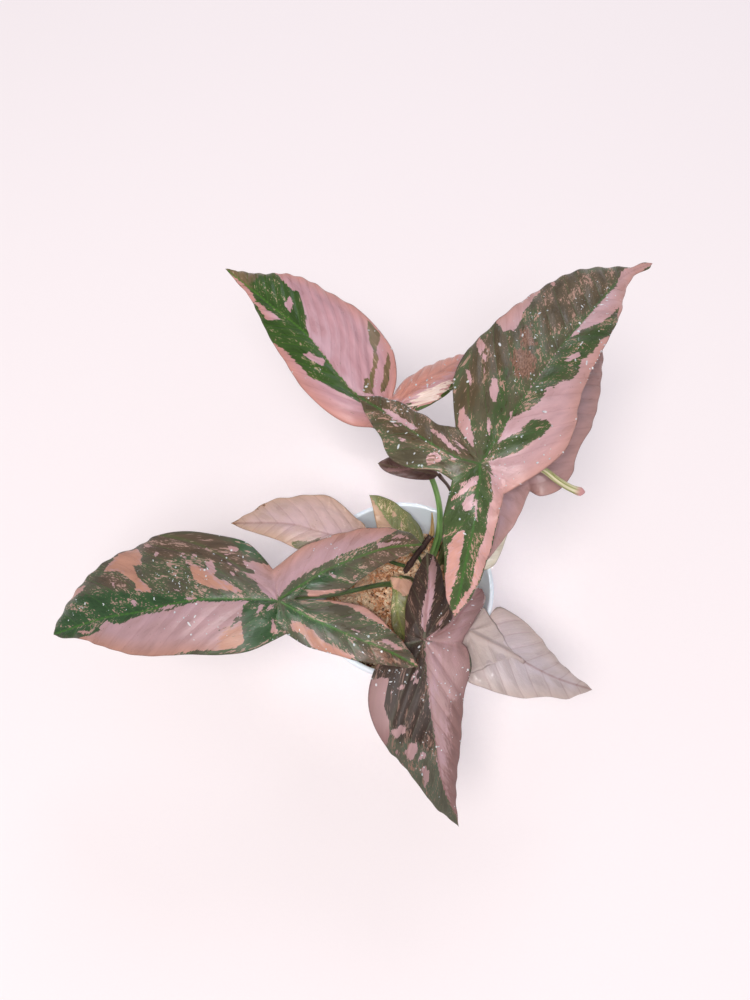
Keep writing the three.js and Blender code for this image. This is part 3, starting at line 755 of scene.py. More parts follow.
def half_faces(half, slant):
    """The faces of a half lobe, and what each corner knows: mm across the veins, mm along them, its lobe."""
    ids, side = half["ids"], half["side"]
    shift = np.full(ids.shape, LOBE_SHIFT * half["lobe"])
    grain = np.dstack([half["vein"] / slant, half["run"] * side * slant, shift])
    quads = np.stack([ids[:-1, :-1], ids[1:, :-1], ids[1:, 1:], ids[:-1, 1:]], axis=-1)
    corners = np.stack([grain[:-1, :-1], grain[1:, :-1], grain[1:, 1:], grain[:-1, 1:]], axis=2)
    faces, known = [], []
    for pick, rows in (
        ([0, 1, 2], [0]), ([0, 1, 2, 3], range(1, len(quads) - 1)), ([0, 1, 3], [len(quads) - 1]),
    ):
        order = pick if side > 0 else pick[::-1]
        for row in rows:
            faces += [tuple(face) for face in quads[row][:, order].tolist()]
            known.append(corners[row][:, order].reshape(-1, 3))
    return faces, np.vstack(known)


def skin_normals(points, faces):
    normals = np.zeros_like(points)
    for size in (3, 4):
        some = np.array([f for f in faces if len(f) == size])
        if len(some):
            diagonals = points[some[:, 2]] - points[some[:, 0]], points[some[:, -1]] - points[some[:, 1]]
            turn = np.cross(*diagonals)
            for k in range(size):
                np.add.at(normals, some[:, k], turn)
    return unit(normals)


# The living sheet: how it lies, how thick it is, and how far paint reaches where none is drawn
SMOOTHING = 75
SMOOTHING_PULL = 0.6
MARGIN_RIPPLE = 0.45
RIPPLE_WAVE = 2.9
UNEVENNESS = 0.5
RIB_PLACES = 90
MIDRIB_FURROW = 0.35
MIDRIB_DEPTH = 1.3
MIDRIB_TIP_DEPTH = 0.25
SIDE_VEIN_DEPTH = 0.3
BLADE_THICKNESS = 0.55
MARGIN_THICKNESS = 0.22
FAR_OUTSIDE = 60.0
DEEP_INSIDE = -30.0
TISSUES = ("pink", "tan", "dark", "lush", "coral")


def slack_level(points, edges, rim):
    """The heights of a blade's points once the sheet hangs slack between its fixed margins."""
    loose = np.ones(len(points), bool)
    loose[rim.ravel()] = False
    a, b = edges.T
    weight = 1 / np.maximum(np.linalg.norm(points[a, :2] - points[b, :2], axis=1), 0.05)
    total = np.bincount(a, weight, len(points)) + np.bincount(b, weight, len(points))
    level = points[:, 2].copy()
    for _ in range(SMOOTHING):
        mean = np.bincount(a, weight * level[b], len(points))
        mean += np.bincount(b, weight * level[a], len(points))
        level[loose] += SMOOTHING_PULL * (mean / total - level)[loose]
    return level


def paint_distances(leaf, points, halves):
    """For each coloured tissue, how far every point lies from its nearest outline, below 0 inside."""
    tissue = {colour: np.full(len(points), FAR_OUTSIDE) for colour in TISSUES}
    lanes = {(h["lobe"], h["side"]): h for h in halves}
    for index, lobe in enumerate(leaf["lobes"]):
        for colours, outline in lobe.get("paint", []):
            if outline == "all":
                for colour in colours.split():
                    for side in (1, -1):
                        tissue[colour][lanes[index, side]["ids"]] = DEEP_INSIDE
                continue
            drawn = []
            for percent, across in outline:
                half = lanes[index, 1 if across >= 0 else -1]
                share = (percent / 100) ** (1 / VEIN_SLANT)
                row = np.interp(share, half["rows"], np.arange(len(half["rows"])))
                low, part = int(row), row % 1
                high = min(low + 1, len(half["rows"]) - 1)
                rib = half["rib"][low] * (1 - part) + half["rib"][high] * part
                edge = half["edge"][low] * (1 - part) + half["edge"][high] * part
                drawn.append((rib + (edge - rib) * abs(across / 100))[:2])
            away = outline_distance(points[:, :2], np.array(drawn))
            for colour in colours.split():
                if colour == "green":
                    tissue["pink"] = np.maximum(tissue["pink"], -away)
                else:
                    tissue[colour] = np.minimum(tissue[colour], away)
    return tissue


def blade(name, leaf, material, slot, node_name):
    """One leaf blade: a thin sheet, swelling between sunk side veins, with its midribs raised underneath."""
    points, halves = lay_out(leaf)
    faces, corner_grain = [], []
    for half in halves:
        some, known = half_faces(half, math.hypot(1, leaf["vein_lean"]))
        faces += some
        corner_grain.append(known)
    corner_grain = np.vstack(corner_grain)

    pairs = np.array([(f[k - 1], f[k]) for f in faces for k in range(len(f))])
    keys = np.sort(pairs, axis=1)
    edges, uses = np.unique(keys, axis=0, return_counts=True)
    rim = edges[uses == 1]
    points[:, 2] = slack_level(points, edges, rim)

    gap, quilt, seed = leaf["vein_gap"], leaf["quilt"], leaf["joint"][0]
    relief = np.zeros(len(points))
    groove = np.zeros(len(points))
    stout = np.zeros(len(points))
    ribs = []
    for half in halves:
        ids, across, vein = half["ids"], half["across"], half["vein"]
        from_vein = np.abs((vein / gap + 0.5) % 1 - 0.5) * gap
        envelope = np.clip(np.sin(math.pi * across), 0, 1) ** 0.7 * np.minimum(1, half["run"] / 4)
        swell = quilt * (1 - np.exp(-(from_vein / (0.2 * gap)) ** 2)) * envelope
        ripple = MARGIN_RIPPLE * np.sin(vein / RIPPLE_WAVE + seed) * across ** 5
        relief[ids] = swell + ripple * np.minimum(1, half["free"] * 8)
        groove[ids] = np.exp(-(from_vein / 0.8) ** 2) * envelope
        stout[ids] = 1 - half["rows"][:, None]
        ribs.append(half["rib"] if half["side"] > 0 else half["rib"][:1])
    ribs = np.vstack([at_shares(r, np.linspace(0, 1, RIB_PLACES)) if len(r) > 1 else r for r in ribs])
    rib_gap = nearest_distance(points[:, :2], ribs[:, :2])
    rim_gap = nearest_distance(points, points[np.unique(rim)])
    x, y = points[:, 0], points[:, 1]
    drift = UNEVENNESS * np.sin(x / 8.3 + y / 15 + seed) * np.sin(y / 10.7 - x / 21)
    normals = skin_normals(points, faces)
    relief += drift * np.minimum(1, rim_gap / 6) - MIDRIB_FURROW * np.exp(-(rib_gap / 1.1) ** 2)
    upper = points + normals * relief[:, None]
    inward = np.minimum(1, rim_gap / 3)
    depth = MARGIN_THICKNESS + (BLADE_THICKNESS - MARGIN_THICKNESS) * inward
    depth += (MIDRIB_TIP_DEPTH + MIDRIB_DEPTH * stout) * np.exp(-(rib_gap / (0.7 + stout)) ** 2) * inward
    depth += SIDE_VEIN_DEPTH * groove * np.minimum(1, rim_gap / 4)
    lower = upper - normals * depth[:, None]

    tissue = paint_distances(leaf, points, halves)
    count = len(points)
    walls = []
    for f in faces:
        for k in range(len(f)):
            walls.append((f[k - 1], f[k]))
    outer = {tuple(e) for e in rim.tolist()}
    walls = [(i, j) for i, j in walls if (min(i, j), max(i, j)) in outer]
    every = faces + [tuple(count + i for i in reversed(f)) for f in faces]
    every += [(j, i, i + count, j + count) for i, j in walls]
    mesh = write_mesh(name, np.vstack([upper, lower]), every)
    sizes = [len(f) for f in faces]
    starts = np.cumsum([0, *sizes[:-1]])
    under_grain = np.vstack([corner_grain[s:s + n][::-1] for s, n in zip(starts, sizes)])
    at_point = np.zeros((count, 3))
    at_point[[i for f in faces for i in f]] = corner_grain
    rim_grain = at_point[[i for pair in walls for i in (pair[1], pair[0], pair[0], pair[1])]]
    write_values(mesh, "grain", np.vstack([corner_grain, under_grain, rim_grain]), "CORNER")
    for title, values in (*tissue.items(), ("rib", rib_gap), ("rim", rim_gap)):
        write_values(mesh, title, np.concatenate([values, values]))
    write_values(mesh, "under", np.concatenate([np.zeros(count), np.ones(count)]))
    settle(name, mesh, material, slot, node_name)
    return upper, faces


STALK_FOOT = 36
STALK_SEAT = 0.5
STALK_SHEATH = 0.42
SHEATH_FADE = 0.03
SHEATH_SWELL = 0.225
KNUCKLE_PLACE = 0.985
KNUCKLE_LENGTH = 0.03
KNUCKLE_SWELL = 0.3


def stalk(name, leaf, top, material, slot, node_name):
    """A leaf stalk: a clasping sheath low down, a furrow up its inner side, and a swollen joint."""
    route = leaf["stalk"]["route"]
    seat = np.array(top) - [0, 0, STALK_SEAT]
    route = [(route[0][0], route[0][1], STALK_FOOT), *route, tuple(seat)]

    def sheathed(share):
        return 1 / (1 + np.exp((share - STALK_SHEATH) / SHEATH_FADE))

    def radius(share):
        knuckle = KNUCKLE_SWELL * np.exp(-((share - KNUCKLE_PLACE) / KNUCKLE_LENGTH) ** 2)
        slim = np.interp(share, [0, 1], leaf["stalk"]["radii"])
        return slim * (1 + SHEATH_SWELL * sheathed(share) + knuckle)

    def section(share, angle):
        furrow = np.exp(-((angle - math.pi) / 0.45) ** 2)
        lips = np.exp(-((np.abs(angle - math.pi) - 0.75) / 0.3) ** 2)
        return 1 - furrow * (0.16 + 0.3 * sheathed(share)) + 0.16 * lips * sheathed(share)

    rod(name, route, radius, material, slot, node_name, sides=24, section=section)


VEIN_RED = "#8a5c5a"
CUT_EDGE = "#4a3228"
TEAR_MM = 4
NIBBLE_MM = 1.6
DRIFT_MM = 11.0


def leaf_skin(name, leaf, olive, green, fresh, lush, dark, pink, painted_lilac_sheen, coral, fleck, under, tan="#8f6b57",
              scab="#6d4a3a", flecks=0.5, specks=0.5, ragged=0.8, veins=0.12, gloss=0.3):
    """A living leaf's skin. Green parts hold chlorophyll, and the pink parts have lost it in ragged
    streaks that follow the side veins. Sizes are in mm across and along the veins."""
    made = bare_material(name)
    grain = node(made, "Attribute", attribute_name="grain").outputs["Vector"]
    values = {}
    for title in (*TISSUES, "rib", "rim", "under"):
        values[title] = node(made, "Attribute", attribute_name=title).outputs["Fac"]
    noise = {}
    for title, across, along, detail in (
        ("cloud", 9, 13, 2.0), ("streak", 1.6, 6.5, 3.0), ("fleck", 1.5, 3.2, 2.0),
        ("speck", 0.9, 1.2, 1.0), ("pore", 0.4, 0.4, 1.0),
    ):
        scaled = node(made, "VectorMath", {0: grain, 1: (1 / across, 1 / along, 1.0)}, operation="MULTIPLY")
        noise[title] = node(made, "TexNoise", {"Vector": scaled, "Scale": 1.0, "Detail": detail})

    # How close the nearest side vein runs, from 1 on it to 0 beside it
    across = node(made, "SeparateXYZ", {0: grain}).outputs["X"]
    lane = node(made, "Math", {
        0: across, 1: leaf["vein_gap"] / math.hypot(1, leaf["vein_lean"]) / 2,
    }, operation="PINGPONG")
    line = node(made, "MapRange", {
        "Value": lane, "From Min": 0.6, "From Max": 0.1,
    }, interpolation_type="SMOOTHSTEP")

    # Where one tissue gives way to another: crisp and torn for the pink, slow for the rest
    tear = node(made, "Math", {
        0: noise["streak"], 1: -TEAR_MM * ragged, 2: TEAR_MM / 2 * ragged,
    }, operation="MULTIPLY_ADD")
    nibble = node(made, "Math", {
        0: noise["speck"], 1: -NIBBLE_MM, 2: NIBBLE_MM / 2,
    }, operation="MULTIPLY_ADD")
    torn = node(made, "Math", {0: tear, 1: nibble}, operation="ADD")
    drift = node(made, "Math", {0: noise["fleck"], 1: -DRIFT_MM, 2: DRIFT_MM / 2}, operation="MULTIPLY_ADD")
    masks = {}
    for title, shift, blend in (
        ("pink", torn, 0.15), ("tan", drift, 0.4), ("dark", drift, 2.5), ("lush", drift, 2.5),
        ("coral", drift, 2.5),
    ):
        reach = node(made, "Math", {0: values[title], 1: shift}, operation="ADD")
        masks[title] = node(made, "MapRange", {
            "Value": reach, "From Min": blend, "From Max": -blend,
        }, interpolation_type="SMOOTHSTEP")

    # The green tissue: olive, clouded with green, brown or vivid in places, with flecks and specks
    clouded = node(made, "MapRange", {"Value": noise["cloud"], "From Min": 0.42, "From Max": 0.58})
    body = node(made, "Mix", {0: clouded, 6: olive, 7: green})
    body = node(made, "Mix", {0: masks["dark"], 6: body, 7: dark})
    body = node(made, "Mix", {0: masks["lush"], 6: body, 7: lush})
    mottle = node(made, "Math", {0: noise["fleck"], 1: 0.5, 2: noise["cloud"]}, operation="MULTIPLY_ADD")
    mottle = node(made, "MapRange", {
        "Value": mottle, "From Min": 0.55, "From Max": 0.95, "To Min": 0.7, "To Max": 1.25,
    })
    body = node(made, "Mix", {0: 1.0, 6: body, 7: mottle}, blend_type="MULTIPLY")
    crowd = node(made, "Math", {0: noise["cloud"], 1: 0.8, 2: -0.4}, operation="MULTIPLY_ADD")
    for title, amount, strength in (("fleck", flecks, 1.0), ("speck", specks, 0.75)):
        level = node(made, "Math", {0: noise[title], 1: crowd}, operation="ADD")
        edge = 0.78 - 0.2 * amount
        mask = node(made, "MapRange", {
            "Value": level, "From Min": edge, "From Max": edge + 0.02, "To Max": strength,
        })
        body = node(made, "Mix", {0: mask, 6: body, 7: fleck})
    beside = node(made, "MapRange", {
        "Value": values["rib"], "From Min": 1.0, "From Max": 0.35, "To Max": 0.75,
    })
    veined = node(made, "Math", {0: line, 1: 0.25, 2: beside}, operation="MULTIPLY_ADD", use_clamp=True)
    body = node(made, "Mix", {0: veined, 6: body, 7: fresh})

    # The pink tissue: dusty, coral at the margin, faint veins, stray specks; the lilac towards the midrib is
    # painted sheen, the sky's reflection laid into the colour
    inner = node(made, "MapRange", {
        "Value": values["rib"], "From Min": 16.0, "From Max": 2.0, "To Max": 0.8,
    })
    inner = node(made, "Math", {0: inner, 1: clouded, 2: 0.1}, operation="MULTIPLY_ADD", use_clamp=True)
    bleached = node(made, "Mix", {0: inner, 6: pink, 7: painted_lilac_sheen})
    warmth = node(made, "MapRange", {
        "Value": values["rim"], "From Min": 9.0, "From Max": 0.0, "To Max": 0.85,
    })
    warmth = node(made, "Math", {0: warmth, 1: masks["coral"]}, operation="MAXIMUM")
    bleached = node(made, "Mix", {0: warmth, 6: bleached, 7: coral})
    midrib = node(made, "Math", {0: beside, 1: 3 * veins}, operation="MULTIPLY")
    faint = node(made, "Math", {0: line, 1: veins, 2: midrib}, operation="MULTIPLY_ADD", use_clamp=True)
    bleached = node(made, "Mix", {0: faint, 6: bleached, 7: VEIN_RED})
    tinge = node(made, "Math", {0: noise["streak"], 1: 0.3, 2: noise["cloud"]}, operation="MULTIPLY_ADD")
    tinge = node(made, "MapRange", {
        "Value": tinge, "From Min": 0.45, "From Max": 0.85, "To Min": 0.86, "To Max": 1.12,
    })
    bleached = node(made, "Mix", {0: 1.0, 6: bleached, 7: tinge}, blend_type="MULTIPLY")
    stray = node(made, "MapRange", {
        "Value": noise["speck"], "From Min": 0.74, "From Max": 0.76, "To Max": 0.8,
    })
    bleached = node(made, "Mix", {0: stray, 6: bleached, 7: olive})
    colour = node(made, "Mix", {0: masks["pink"], 6: body, 7: bleached})

    # Where the tissue has died back it is tan, crusted with brown
    crust = node(made, "MapRange", {"Value": noise["speck"], "From Min": 0.42, "From Max": 0.6})
    patch = node(made, "Mix", {0: crust, 6: tan, 7: scab})
    colour = node(made, "Mix", {0: masks["tan"], 6: colour, 7: patch})

    # The underside is paler and duller, and the cut edge of the margin a little darker
    pale = node(made, "Math", {0: values["under"], 1: 0.6}, operation="MULTIPLY")
    colour = node(made, "Mix", {0: pale, 6: colour, 7: under})
    lip = node(made, "MapRange", {"Value": values["rim"], "From Min": 0.7, "From Max": 0.0, "To Max": 0.4})
    colour = node(made, "Mix", {0: lip, 6: colour, 7: CUT_EDGE})

    # Net veins: cells a millimetre or two wide that crease the skin, over the finer pores
    cells = node(made, "VectorMath", {0: grain, 1: (0.55, 0.42, 1.0)}, operation="MULTIPLY")
    net = node(made, "TexVoronoi", {"Vector": cells, "Scale": 1.0}, feature="DISTANCE_TO_EDGE")
    crease = node(made, "MapRange", {"Value": net, "From Min": 0.0, "From Max": 0.12})
    fine = node(made, "Math", {0: noise["pore"], 1: 0.35, 2: crease}, operation="MULTIPLY_ADD")
    sunk = node(made, "Math", {0: line, 1: -1.6, 2: fine}, operation="MULTIPLY_ADD")
    bump = node(made, "Bump", {"Height": sunk, "Strength": 0.4, "Distance": 0.00011})
    shine = node(made, "MapRange", {
        "Value": noise["cloud"], "From Min": 0.3, "From Max": 0.7, "To Min": gloss - 0.05,
        "To Max": gloss + 0.07,
    })
    dull = node(made, "Math", {0: values["under"], 1: 0.2, 2: shine}, operation="MULTIPLY_ADD")
    skin = node(made, "BsdfPrincipled", {
        "Base Color": colour, "Roughness": dull, "IOR": 1.42, "Normal": bump,
    })
    node(made, "OutputMaterial", {"Surface": skin})
    return made


def grow(name, leaf, skin, blade_slot, stalk_skin, stalk_slot):
    """Dresses one leaf of the plant: its blade, and the stalk that carries it."""
    leaf["top"], leaf["faces"] = blade(f"{name}_skin", leaf, skin, blade_slot, f"{name}_blade")
    stalk(f"{name}_stalk", leaf, leaf["top"][0], stalk_skin, stalk_slot, f"{name}_petiole")


# Living leaf stalks, grown: glossy green with paler lines along them and brownish freckles.
# Those of the front leaves are washed with maroon.
green_stalk = fibrous("leaf_stalk_living_green", "#35441f", "#557040", "#6e503e", 0.45, 0.38)
bright_stalk = fibrous("leaf_stalk_living_bright_green", "#5f8a44", "#93bd72", "#8a6a50", 0.2, 0.34)
maroon_stalk = fibrous("leaf_stalk_living_maroon", "#3c2620", "#5c3f32", "#6d6a42", 0.5, 0.38)

# The upper right leaf. The plant's largest, on a green stalk and on top of all the rest: its left
# half is olive with pink nicks along the margin, its right half mostly pink with green beside the
# midrib, and its drip tip pink.

LEAF_UPPER_RIGHT = {
    "joint": (35, 28, 205),
    "stalk": {"route": [(25, 22, 70), (27, 24, 120), (31, 27, 172)], "radii": (2.2, 1.5)},
    "notches": [(24, 50, 202), (21, 20, 203), (47, 15, 197)],
    "vein_gap": 13.0, "vein_lean": 0.9, "quilt": 0.7,
    "lobes": [{
        "midrib": [
            (49, 49, 210), (64, 71, 211), (84, 100, 206), (107, 131, 197), (128, 158, 187),
            (147, 171, 181),
        ],
        "left": [
            (12, 29), (18, 36), (28, 40), (38, 38), (50, 35), (62, 32), (71, 28), (80, 20), (87, 9),
            (92, 3), (98, 2.2),
        ],
        "right": [
            (2, 22), (8, 27), (16, 31), (24, 29), (31, 24), (42, 20), (56, 17), (69, 13), (80, 7),
            (90, 3), (97, 2.4),
        ],
        "fall": (0.15, 0.2), "waves": (3, 2), "wave_height": 1.4,
        "paint": [
            ("pink", [
                (3, -17), (10, 0), (20, 0), (30, 0), (42, 0), (54, -4), (67, -4), (79, -17), (86, 33),
                (92, 110), (99, 110), (100, 0), (99, -110), (91, -110), (84, -110), (75, -110),
                (60, -110), (43, -110), (34, -110), (28, -110), (23, -110), (15, -110), (12, -110),
                (6, -92),
            ]),
            ("green", [
                (1, -42), (14, 4), (26, 0), (38, 0), (48, 0), (51, -12), (55, -21), (59, -42), (62, -54),
                (67, -67), (72, -79), (67, -100), (61, -100), (57, -79), (52, -79), (47, -62), (43, -67),
                (40, -62), (36, -42), (29, -25), (26, -25), (22, -21), (14, 0), (10, -8), (5, -33),
            ]),
            ("green lush", [
                (1, -42), (8, -12), (14, -25), (17, -33), (21, -33), (23, -42), (25, -50), (26, -62),
                (23, -62), (20, -58), (16, -58), (13, -50), (5, -42),
            ]),
            ("pink", [(40, -25), (45, -33), (48, -46), (47, -54), (44, -42)]),
            ("pink", [(28, -17), (31, -25), (33, -38), (30, -29)]),
            ("pink", [
                (41, 100), (48, 110), (57, 110), (61, 110), (59, 96), (51, 83), (47, 79), (44, 71),
                (40, 67), (40, 75), (39, 79),
            ]),
            ("pink", [(65, 110), (65, 96), (63, 83), (63, 92)]),
            ("pink", [(35, 100), (33, 83), (30, 79), (30, 83), (33, 96)]),
            ("pink", [(30, 79), (30, 71), (28, 67), (29, 75)]),
            ("pink", [(25, 88), (25, 83), (23, 75), (21, 75)]),
            ("pink", [(27, 71), (25, 58), (25, 62)]),
            ("pink", [(25, 50), (24, 42), (21, 33), (18, 33), (18, 38), (21, 46)]),
            ("pink", [(15, 92), (16, 83), (13, 71), (8, 67), (4, 79), (8, 96), (12, 96)]),
            ("pink", [(14, 38), (13, 29), (9, 25), (10, 33)]),
            ("pink", [(18, 4), (16, 0), (15, -4), (16, 4)]),
            ("tan", [(34, 46), (36, 42), (36, 29), (35, 17), (31, 8), (28, 12), (27, 21), (30, 38)]),
            ("tan", [(41, 62), (44, 54), (41, 42), (39, 29), (36, 42)]),
            ("lush", [
                (0, 0), (7, 33), (15, 33), (21, 38), (28, 46), (28, 38), (21, 21), (16, 12), (15, 8),
                (21, 0), (30, -4), (40, -4), (47, -4), (53, -17), (51, -38), (41, -29), (30, -25),
                (19, -8), (10, -8), (5, -42),
            ]),
            ("lush", [
                (26, -25), (36, -38), (45, -67), (51, -75), (57, -79), (61, -100), (66, -75), (60, -50),
                (51, -21), (40, -12),
            ]),
            ("dark", [
                (16, 96), (22, 88), (33, 92), (39, 92), (37, 58), (32, 50), (27, 29), (26, 54), (20, 58),
                (15, 71), (12, 88),
            ]),
            ("dark", [
                (60, 100), (69, 96), (79, 67), (86, 38), (73, 4), (61, 8), (48, 17), (44, 29), (48, 54),
                (53, 79),
            ]),
        ],
    }, {
        "midrib": [(23, 31, 207), (9, 41, 205), (-6, 57, 198), (-26, 77, 188)],
        "left": [(20, 10), (32, 15), (46, 17), (62, 12), (78, 8)],
        "right": [(38, 12), (55, 12), (70, 10), (86, 7)],
        "fall": (0.3, 0.15), "waves": (2, 2), "wave_height": 0.9,
        "paint": [
            ("pink", [(79, -8), (71, -25), (52, -25), (47, -25), (49, -4), (67, 4)]),
            ("pink", [(43, -54), (41, -62), (25, -42), (14, -25), (21, -21), (36, -33)]),
            ("pink", [(67, 17), (62, 12), (60, 17), (64, 21)]),
            ("pink", [(43, 62), (34, 29), (31, 42), (38, 71), (44, 88)]),
            ("tan", [(42, 67), (37, 46), (38, 62), (43, 79)]),
            ("pink", [(21, 17), (15, 8), (21, 38)]),
            ("pink", [(58, 42), (51, 33), (56, 50)]),
            ("pink", [(25, -58), (12, -71), (18, -50)]),
            ("dark", [
                (100, 0), (89, -110), (72, -110), (52, -110), (37, -110), (13, -100), (5, -29), (11, -4),
                (23, 8), (42, 33), (54, 38), (71, 58), (87, 71),
            ]),
        ],
    }, {
        "midrib": [(33, 12, 204), (31, -3, 195), (28, -16, 182), (24, -37, 160)],
        "left": [(25, 12), (42, 11), (60, 10), (77, 8), (90, 4)],
        "right": [(22, 14), (36, 15), (50, 13), (65, 10), (82, 7), (93, 3.5)],
        "fall": (0.3, 0.3), "waves": (2, 2), "wave_height": 0.8,
        "paint": [
            ("pink", [
                (2, 110), (6, 110), (24, 110), (34, 110), (42, 110), (50, 96), (65, 100), (77, 88),
                (89, 83), (100, 0), (98, -100), (86, 25), (79, 58), (66, 46), (55, 46), (47, 58),
                (37, 46), (27, 67), (10, 110),
            ]),
            ("pink", [(42, -96), (28, -67), (11, -42), (7, -4), (13, -8), (26, -50), (40, -79)]),
            ("pink", [(39, -62), (23, -29), (23, -12), (34, -21), (39, -42), (37, -46)]),
            ("pink", [(43, -83), (41, -71), (43, -71)]),
            ("pink coral", [
                (50, -46), (47, -33), (46, -25), (53, -21), (66, -25), (78, -33), (82, -50), (88, -62),
                (94, -110), (89, -110), (80, -100), (69, -83), (60, -75),
            ]),
            ("pink", [(25, -12), (23, 4), (39, 17), (33, 0)]),
            ("pink", [(31, -83), (17, -62), (27, -71)]),
            ("lush", "all"),
            ("coral", [(57, 79), (73, 75), (88, 71), (100, 0), (98, -110), (87, 0), (75, 42), (63, 54)]),
        ],
    }],
}

# Living leaf, grown: olive tissue full of pinkish specks against dusty rose, both under a gloss
upper_right_skin = leaf_skin(
    "leaf_living_olive_and_rose", LEAF_UPPER_RIGHT,
    olive="#5f5640", green="#505a3a", fresh="#3d6628", lush="#43542c", dark="#5c4c34",
    pink="#c69b9c", painted_lilac_sheen="#c5a0a6", coral="#c48f82", fleck="#b28a7a", under="#8f8a68",
    flecks=0.55, specks=0.6, ragged=0.7,
)
grow("leaf_upper_right", LEAF_UPPER_RIGHT, upper_right_skin, "leaf_olive_pink", green_stalk, "petiole_green")

# The mauve leaf. Its stalk stands beside that of the leaf above, which almost covers it. It is one
# dusty mauve all over, so its right margin shows as a second outline.

LEAF_UNDER_RIGHT = {
    "joint": (44, 27, 178),
    "stalk": {"route": [(33, 22, 70), (34, 24, 110), (37, 28, 154)], "radii": (1.9, 1.2)},
    "notches": [(36, 53, 174), (37, 26, 176), (65, 28, 172)],
    "vein_gap": 14.0, "vein_lean": 0.8, "quilt": 0.8,
    "lobes": [{
        "midrib": [(60, 47, 182), (78, 69, 180), (99, 98, 172), (118, 126, 160)],
        "left": [(25, 30), (40, 33), (58, 30), (76, 23), (92, 11)],
        "right": [(10, 22), (17, 28), (27, 28), (37, 23), (50, 21), (65, 16), (78, 10), (92, 4)],
        "fall": (0.2, 0.15), "waves": (2, 3), "wave_height": 0.9,
        "paint": [
            ("pink", "all"),
        ],
    }, {
        "midrib": [(33, 39, 176), (23, 50, 168)],
        "left": [(40, 6), (78, 6)],
        "right": [(70, 8), (95, 5)],
        "fall": (0.3, 0.3), "waves": (1, 1), "wave_height": 0,
        "paint": [
            ("pink", "all"),
        ],
    }, {
        "midrib": [(48, 17, 172), (48, 8, 160), (43, -2, 142)],
        "left": [(25, 14), (42, 8), (60, 4), (80, 2)],
        "right": [(25, 10), (50, 12), (80, 7)],
        "fall": (0.3, 0.3), "waves": (1, 1), "wave_height": 0,
        "paint": [
            ("pink", "all"),
        ],
    }],
}

# Living leaf, grown: hardly any chlorophyll is left, so it is an even mauve, faintly quilted. Its mauve is
# painted a little lighter than its own, painted light to make up for the shade the upper right leaf casts on
# it
mauve_skin = leaf_skin(
    "leaf_living_mauve", LEAF_UNDER_RIGHT,
    olive="#b39397", green="#b8918f", fresh="#94706c", lush="#a88a8c", dark="#8f6f70",
    pink="#b18c8c", painted_lilac_sheen="#a88a90", coral="#b0867e", fleck="#c0a2a0", under="#b39a96",
    flecks=0.1, specks=0.2,
)
grow("leaf_under_right", LEAF_UNDER_RIGHT, mauve_skin, "leaf_mauve", green_stalk, "petiole_green")

# The upper left leaf. It stands apart on a bright stalk that bows out over the back of the pot.
# Vivid green along its midrib and rose on both margins, with one curled coral and cream ear.

